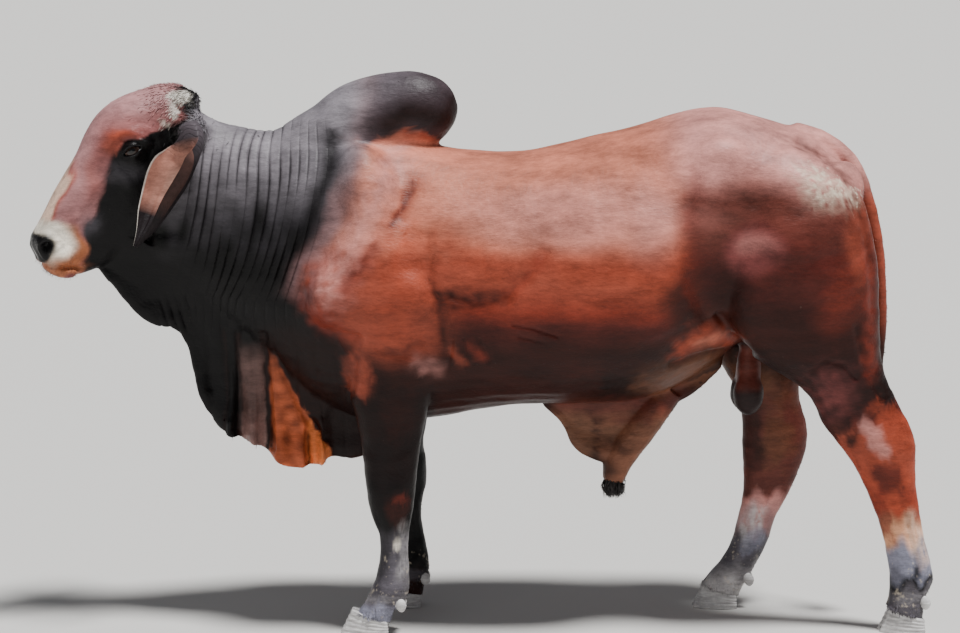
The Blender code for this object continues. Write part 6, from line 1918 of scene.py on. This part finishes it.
class BullColours(bpy.types.PropertyGroup):
    """Colours of the coat, the skin, the horn and the eyes."""
    red_coat: colour("Red coat", "Ground colour of the flanks", 146, 68, 50)
    # Painted highlight: the sunlit red of the back and the upper ribs.
    sunlit_red: colour("Sunlit red", "Pale red of the back and the upper ribs", 186, 112, 90)
    # Painted highlight: the rose glare of the sun on the red coat.
    rose: colour("Rose", "Pale rose of the shoulder and the rump", 192, 132, 124)
    ember: colour("Ember", "Orange red of the folds and the forearm", 156, 66, 44)
    deep_red: colour("Deep red", "Darker red low on the ribs", 122, 46, 32)
    maroon: colour("Maroon", "Brown red of the thigh and the knees", 80, 32, 26)
    # Painted light of the sunlit stifle and gaskin.
    lit_mauve: colour("Mauve", "Greyed red of the thigh", 122, 62, 60)
    ash_rose: colour("Ash rose", "Greyed rose between the neck and the shoulder", 120, 96, 98)
    belly_tan: colour("Belly tan", "Lit skin below the flank fold", 104, 64, 44)
    black_brown: colour("Black brown", "Darkest brown of the underside", 28, 10, 7)
    # Painted highlight: the grey sheen of the upper neck.
    pale_ash: colour("Pale ash", "Light grey of the nape", 138, 132, 138)
    blue_grey: colour("Blue grey", "Blue grey skin above the hooves", 132, 132, 148)
    peach: colour("Peach", "Pale blaze of the bridge and the lit shin", 224, 190, 168)
    brick: colour("Brick", "Mottled orange brown flap of the dewlap", 196, 98, 62)
    amber: colour("Amber", "Brightest lobe of the dewlap", 232, 128, 72)
    dusk: colour("Dusk", "Dim brown red of the inner leg and the lit thigh", 98, 50, 42)
    grey_brown: colour("Grey brown", "Grey brown fold of the dewlap", 136, 104, 98)
    chalk: colour("Chalk", "Chalky grey of the pasterns", 176, 172, 172)
    muzzle_rim: colour("Muzzle rim", "Orange brown rim of the muzzle", 172, 104, 70)
    umber: colour("Umber", "Dark brown of the belly and the inner legs", 46, 16, 10)
    black_coat: colour("Black coat", "Black of the neck and the cheeks", 9, 7, 8)
    slate: colour("Slate", "Grey of the cannons and the pasterns", 84, 80, 86)
    tan: colour("Tan", "Pale tan of the hind cannon", 200, 144, 110)
    hump: colour("Hump", "Dark brown grey of the hump", 60, 50, 54)
    ash: colour("Ash", "Grey sheen on the crest and the hump", 100, 92, 98)
    sheath: colour("Sheath", "Grey red of the sheath", 122, 82, 62)
    head_coat: colour("Face", "Maroon of the face", 134, 76, 73)
    forehead: colour("Forehead", "Pale rose of the forehead and the bridge", 188, 140, 140)
    cream: colour("Muzzle", "Cream of the muzzle", 250, 240, 222)
    black_skin: colour("Bare skin", "Black of the nose pad", 18, 16, 17)
    lid: colour("Lids", "Wet dark margin of the lids", 22, 18, 19)
    white_hair: colour("White hair", "White patch on the poll", 212, 206, 196)
    mud: colour("Dried mud", "Pale dried mud on the rump", 218, 204, 182)
    ear_inner: colour("Ear lining", "Rosy brown inside the ears", 172, 118, 102)
    ear_rim: colour("Ear rim", "Pale rim of the ears", 206, 178, 160)
    ear_back: colour("Ear back", "Black back of the ears", 28, 22, 24)
    eye_white: colour("Eye white", "Brown white at the corners of the eyes", 92, 74, 66)
    iris: colour("Iris", "Dark brown iris", 40, 24, 16)
    pupil: colour("Pupil", "Oval pupil", 6, 6, 8)
    hoof_pale: colour("Hoof, pale", "Weathered horn of the hooves", 224, 222, 220)
    hoof_dark: colour("Hoof, dark", "Dark streaks of the hooves", 170, 166, 166)
    scur_pale: colour("Horn bud, pale", "Crust of the horn buds", 52, 46, 43)
    scur_dark: colour("Horn bud, dark", "Cracks of the horn buds", 14, 12, 12)
    switch_hair: colour("Tail hair", "Black brown hair of the switch", 30, 23, 22)
    floor: colour("Floor", "Pale studio floor", 214, 212, 208)


FLOOR_SIZE = 600.0
SKY_COLOUR, SKY_STRENGTH = (0.90, 0.93, 1.0, 1.0), 0.16
# The lights: kind, place, angle or width, and strength. All aim at the middle of the body.
LIGHTS = [
    ("key_light", "SUN", (1.6, -1.2, 6.5), math.radians(12.0), 5.4),
    ("front_fill", "AREA", (-2.5, -6.5, 2.6), 4.0, 40.0),
]
LIGHTS_AIM = Vector((0.0, 0.0, 0.8))


def settings():
    """The sizes, and the colours as a table of plain numbers."""
    scene = bpy.context.scene
    palette = {name: tuple(getattr(scene.bull_colours, name)) for name in BullColours.__annotations__}
    return scene.bull_sizes, palette


def shared(name, build):
    """A node group that is built once and used again."""
    return bpy.data.node_groups.get(name) or build()


def coat(name, relief, **values):
    """The coat's material, built once for each finish."""
    found = bpy.data.materials.get(name)
    if found:
        return found
    colours = settings()[1]
    return coat_material(name, colours, shared("hair grain", grain_group), shared("dried mud", dust_group),
                         relief, **values)


def long_hair_material():
    """The material of the locks and tufts, built once."""
    found = bpy.data.materials.get("hair locks")
    return found or hair_material("hair locks", shared("hair grain", grain_group), 0.45)


class BULL_OT_skin(bpy.types.Operator):
    """Grow the skin over the whole body and mark its coat"""
    bl_idname = "bull.skin"
    bl_label = "Skin"

    def execute(self, context):
        sizes, palette = settings()
        skin = sculpted_skin(sizes, palette)
        finished(skin, coat("short coat", 0.55), "red_coat", *FLESH)
        return {"FINISHED"}


class BULL_OT_ears(bpy.types.Operator):
    """Model the two long hanging ears"""
    bl_idname = "bull.ears"
    bl_label = "Ears"

    def execute(self, context):
        sizes, palette = settings()
        for tag, sign in (("left", 1.0), ("right", -1.0)):
            ear = ear_leaf("ear_leaf_" + tag, sign, sizes, palette)
            finished(ear, coat("ear coat", 0.45, roughness=0.46, hair_scale=1.6), "dark_coat", "ear_" + tag)
        return {"FINISHED"}


class BULL_OT_eyes(bpy.types.Operator):
    """Model the eyeballs, the rims of the lids and the lashes"""
    bl_idname = "bull.eyes"
    bl_label = "Eyes"

    def execute(self, context):
        sizes, palette = settings()
        material = eye_material(palette)
        for tag, sign in (("left", 1.0), ("right", -1.0)):
            finished(eyeball("eyeball_" + tag, sign, palette), material, "eye", "eye_" + tag)
            rim = lid_rims("lid_rim_" + tag, sign, palette)
            finished(rim, coat("wet skin", 0.35, roughness=0.30), "dark_coat")
            lashes = self.lashes("lashes_" + tag, sign, palette)
            finished(lashes, long_hair_material(), "long_hair")
        return {"FINISHED"}

    def lashes(self, name, sign, palette):
        """Long lashes on the upper lid and short ones on the lower."""
        draw = np.random.default_rng(7)
        centre, sight, length_way, height_way = (np.array(way) for way in eye_frame(sign))
        paths, flats, places = [], [], []
        for above, count, reach in ((True, 64, 0.017), (False, 34, 0.009)):
            for index in range(count):
                share = -0.93 + 1.86 * (index + draw.uniform(0.2, 0.8)) / count
                root = np.array(lid_point(sign, share, above, EYE_RADIUS + 0.0042))
                out = (root - centre) / np.linalg.norm(root - centre)
                way = out * 0.8 + height_way * (0.25 if above else -0.5) + length_way * 0.55 * share
                way /= np.linalg.norm(way)
                fall = height_way * (-0.65 if above else 0.15)
                size = reach * draw.uniform(0.7, 1.05) * (1.0 - 0.35 * abs(share))
                steps = np.linspace(0.0, 1.0, 5)
                path = [root - out * 0.001 + way * size * s + fall * size * s ** 2 for s in steps]
                paths.append(path)
                flats.append(height_way)
                places.append((0.01 + 0.97 * (share + 1) / 2, 0.75 if above else 0.25))
        count = len(paths)
        return hair_mesh(name, np.array(paths), np.array(flats), np.full(count, 0.0009),
                         np.full(count, 0.0007), np.tile(palette["black_coat"], (count, 1)), np.array(places))


class BULL_OT_horn(bpy.types.Operator):
    """Model the hooves, the dewclaws and the horn buds"""
    bl_idname = "bull.horn"
    bl_label = "Horn"

    def execute(self, context):
        sizes, palette = settings()
        hoof = horn_material("hoof horn", palette["hoof_pale"], palette["hoof_dark"],
                             (26.0, 60.0, 210.0), 0.55, 0.30)
        crust = horn_material("bud crust", palette["scur_pale"], palette["scur_dark"],
                              (90.0, 90.0, 90.0), 1.0, 0.40)
        for limb, (centre_x, centre_y, size) in SOLES.items():
            sign = math.copysign(1.0, centre_y)
            for tag, way in (("outer", sign), ("inner", -sign)):
                claw = hoof_claw("claw_%s_%s" % (limb, tag), centre_x - size / 2, centre_x + size / 2,
                                 centre_y + way * HOOF_CLEFT / 2, centre_y + way * 0.051)
                finished(claw, hoof, "horn", "hoof_%s_%s" % (limb, tag))
                centre = Vector((DEWCLAW_X[limb], centre_y + way * 0.026, DEWCLAW_HEIGHT))
                claw = dew_claw("spur_%s_%s" % (limb, tag), centre)
                finished(claw, hoof, "horn", "dewclaw_%s_%s" % (limb, tag))
        for seed, (tag, sign) in enumerate((("left", 1.0), ("right", -1.0))):
            forward, left, height = HORN_BUD_PLACE
            bud = scur("scur_" + tag, head_point(forward, sign * left, height), 40 + seed)
            finished(bud, crust, "horn", "horn_bud_" + tag)
        return {"FINISHED"}


class BULL_OT_long_hair(bpy.types.Operator):
    """Model the switch of the tail and the tuft of the sheath"""
    bl_idname = "bull.long_hair"
    bl_label = "Long hair"

    def execute(self, context):
        sizes, palette = settings()
        material = long_hair_material()
        tip = Vector(TAIL[-1][:3])
        way = (tip - Vector(TAIL[-2][:3])).normalized()
        bend = tip + way * 0.050
        core = [(tip - way * 0.030, 0.017), (tip, 0.017), (bend, 0.022), (bend + DOWN * 0.060, 0.020),
                (bend + DOWN * 0.100, 0.008)]
        switch = tassel("switch_hair", core, sizes.switch_locks, 0.402, 0.010, (0.0060, 0.0022, 9),
                        palette["switch_hair"], 11)
        finished(switch, material, "long_hair", "tail_switch")
        end = Vector((SHEATH_TUBE[-1][0], 0.0, 0.400))
        core = [(end + DOWN * -0.012, 0.022), (end, 0.024), (end + DOWN * 0.018, 0.020),
                (end + DOWN * 0.034, 0.010)]
        tuft = tassel("sheath_hair", core, sizes.sheath_locks, 0.338, 0.006, (0.0042, 0.0018, 6),
                      palette["switch_hair"], 5)
        finished(tuft, material, "long_hair", "sheath_tuft")
        return {"FINISHED"}


class BULL_OT_short_hair(bpy.types.Operator):
    """Set short tufts where the coat breaks the outline"""
    bl_idname = "bull.short_hair"
    bl_label = "Short hair"

    def execute(self, context):
        sizes, palette = settings()
        skin = bpy.data.objects["hide"]
        skin.data.transform(Matrix.Translation((-SHIFT_X, 0.0, 0.0)))
        made = [self.crown(skin, sizes), self.feet(skin, sizes), self.edges(skin, sizes),
                self.muzzle(skin, sizes)]
        skin.data.transform(Matrix.Translation((SHIFT_X, 0.0, 0.0)))
        for hair in made:
            finished(hair, long_hair_material(), "long_hair")
        return {"FINISHED"}

    def crown(self, skin, sizes):
        """Rough hair on the poll, the forehead's top and the roots of the ears."""
        def weight(points, normals):
            places = head_places(points)
            crown = np.exp(-((places[:, 0] - 0.040) / 0.055) ** 2 - ((places[:, 2] - 1.435) / 0.055) ** 2)
            ears = np.exp(-((places[:, 0] - 0.02) / 0.04) ** 2 - ((np.abs(places[:, 1]) - 0.115) / 0.03) ** 2
                          - ((places[:, 2] - 1.36) / 0.045) ** 2)
            return crown + 0.8 * ears
        roots, normals, tones = scattered(skin, weight, sizes.short_tufts, 3)
        back = np.array(head_direction(0.75, 0.0, -0.65))
        return tufts("poll_hair", roots, normals, tones, np.tile(back, (len(roots), 1)), 0.017, 0.0034,
                     0.30, 4)

    def feet(self, skin, sizes):
        """Hair that hangs over the rims of the hooves and behind the pasterns."""
        def weight(points, normals):
            z = points[:, 2]
            rim = ramp(0.030, 0.045, z) * ramp(0.094, 0.074, z)
            behind = ramp(0.35, 0.75, normals[:, 0]) * ramp(0.06, 0.09, z) * ramp(0.19, 0.14, z)
            return rim + behind
        roots, normals, tones = scattered(skin, weight, sizes.short_tufts, 5)
        lies = np.tile((0.1, 0.0, -1.0), (len(roots), 1))
        return tufts("foot_hair", roots, normals, tones, lies, 0.014, 0.0030, 0.16, 6)

    def edges(self, skin, sizes):
        """Short hair along the crest, the hump, the dewlap's edge, the belly and the tail."""
        def weight(points, normals):
            x, y, z = points.T
            crest = ramp(0.55, 0.90, normals[:, 2]) * ramp(-0.10, -0.16, x) * ramp(1.28, 1.33, z)
            hang = ramp(-0.35, -0.80, normals[:, 2]) * ramp(0.30, 0.36, z) * ramp(0.85, 0.70, z)
            behind = ramp(0.50, 0.85, normals[:, 0]) * ramp(0.15, 0.22, z) * ramp(1.25, 1.15, z)
            tail = ((x > 1.0) & (np.abs(y) < 0.04)) * ramp(0.70, 0.78, z)
            return 0.9 * crest + 1.2 * hang + 0.5 * behind + 0.4 * tail
        roots, normals, tones = scattered(skin, weight, sizes.short_tufts * 2, 7)
        lies = np.tile((0.75, 0.0, -0.55), (len(roots), 1))
        return tufts("edge_hair", roots, normals, tones, lies, 0.013, 0.0026, 0.16, 8)

    def muzzle(self, skin, sizes):
        """Sparse bristles on the lips and the chin."""
        def weight(points, normals):
            places = head_places(points)
            lips = np.exp(-((places[:, 2] - 0.990) / 0.022) ** 2) * ramp(0.300, 0.340, places[:, 0])
            return lips * on_head(points)
        roots, normals, tones = scattered(skin, weight, sizes.short_tufts // 12, 9)
        lies = np.tile(np.array(head_direction(0.3, 0.0, -0.9)), (len(roots), 1))
        return tufts("muzzle_bristles", roots, normals, tones * 0.6, lies, 0.012, 0.0008, 0.9, 10)


class BULL_OT_stage(bpy.types.Operator):
    """Set the floor, the soft lights and the camera"""
    bl_idname = "bull.stage"
    bl_label = "Stage"

    def execute(self, context):
        palette = settings()[1]
        bpy.ops.mesh.primitive_plane_add(size=FLOOR_SIZE, location=(0.0, 0.0, 0.0))
        floor = context.object
        floor.name = "studio_floor"
        material, tree, shader = new_material("studio floor")
        shader.inputs["Base Color"].default_value = (*palette["floor"], 1.0)
        shader.inputs["Roughness"].default_value = 0.85
        floor.data.materials.append(material)
        for name, kind, place, size, power in LIGHTS:
            data = bpy.data.lights.new(name, kind)
            data.energy = power
            if kind == "SUN":
                data.angle = size
            else:
                data.size = size
            light = bpy.data.objects.new(name, data)
            context.scene.collection.objects.link(light)
            light.location = place
            light.rotation_euler = (LIGHTS_AIM - Vector(place)).to_track_quat("-Z", "Y").to_euler()
        world = bpy.data.worlds.new("studio world")
        world.use_nodes = True
        sky = world.node_tree.nodes["Background"]
        sky.inputs["Color"].default_value, sky.inputs["Strength"].default_value = SKY_COLOUR, SKY_STRENGTH
        context.scene.world = world
        data = bpy.data.cameras.new("photo_camera")
        data.sensor_width = 36.0
        data.lens = FOCAL_PIXELS / PHOTO_WIDTH * data.sensor_width
        data.clip_end = 200.0
        camera = bpy.data.objects.new("photo_camera", data)
        context.scene.collection.objects.link(camera)
        camera.location = (MIDDLE_X + SHIFT_X, -CAMERA_BACK, CAMERA_HEIGHT)
        downwards = math.atan((PHOTO_HEIGHT / 2 - LEVEL_ROW) / FOCAL_PIXELS)
        camera.rotation_euler = (math.pi / 2 - downwards, 0.0, 0.0)
        context.scene.camera = camera
        return {"FINISHED"}


OPERATORS = [BULL_OT_skin, BULL_OT_ears, BULL_OT_eyes, BULL_OT_horn, BULL_OT_long_hair,
             BULL_OT_short_hair, BULL_OT_stage]


class BULL_PT_panel(bpy.types.Panel):
    """Lists the bull's pieces and settings"""
    bl_idname = "BULL_PT_panel"
    bl_label = "Brahman bull"
    bl_space_type = "VIEW_3D"
    bl_region_type = "UI"
    bl_category = "Bull"

    def draw(self, context):
        for operator in OPERATORS:
            self.layout.operator(operator.bl_idname)
        for group, kind in ((context.scene.bull_sizes, BullSizes), (context.scene.bull_colours, BullColours)):
            box = self.layout.box()
            for name in kind.__annotations__:
                box.prop(group, name)


def register():
    """Make the settings, operators and panel known."""
    for kind in (BullSizes, BullColours, *OPERATORS, BULL_PT_panel):
        bpy.utils.register_class(kind)
    bpy.types.Scene.bull_sizes = bpy.props.PointerProperty(type=BullSizes)
    bpy.types.Scene.bull_colours = bpy.props.PointerProperty(type=BullColours)


def unregister():
    """Take the settings, operators and panel away again."""
    del bpy.types.Scene.bull_colours
    del bpy.types.Scene.bull_sizes
    for kind in reversed((BullSizes, BullColours, *OPERATORS, BULL_PT_panel)):
        bpy.utils.unregister_class(kind)


def main():
    """Build every piece in order."""
    register()
    bpy.ops.bull.skin()
    bpy.ops.bull.ears()
    bpy.ops.bull.eyes()
    bpy.ops.bull.horn()
    bpy.ops.bull.long_hair()
    bpy.ops.bull.short_hair()
    bpy.ops.bull.stage()


if __name__ == "__main__":
    main()
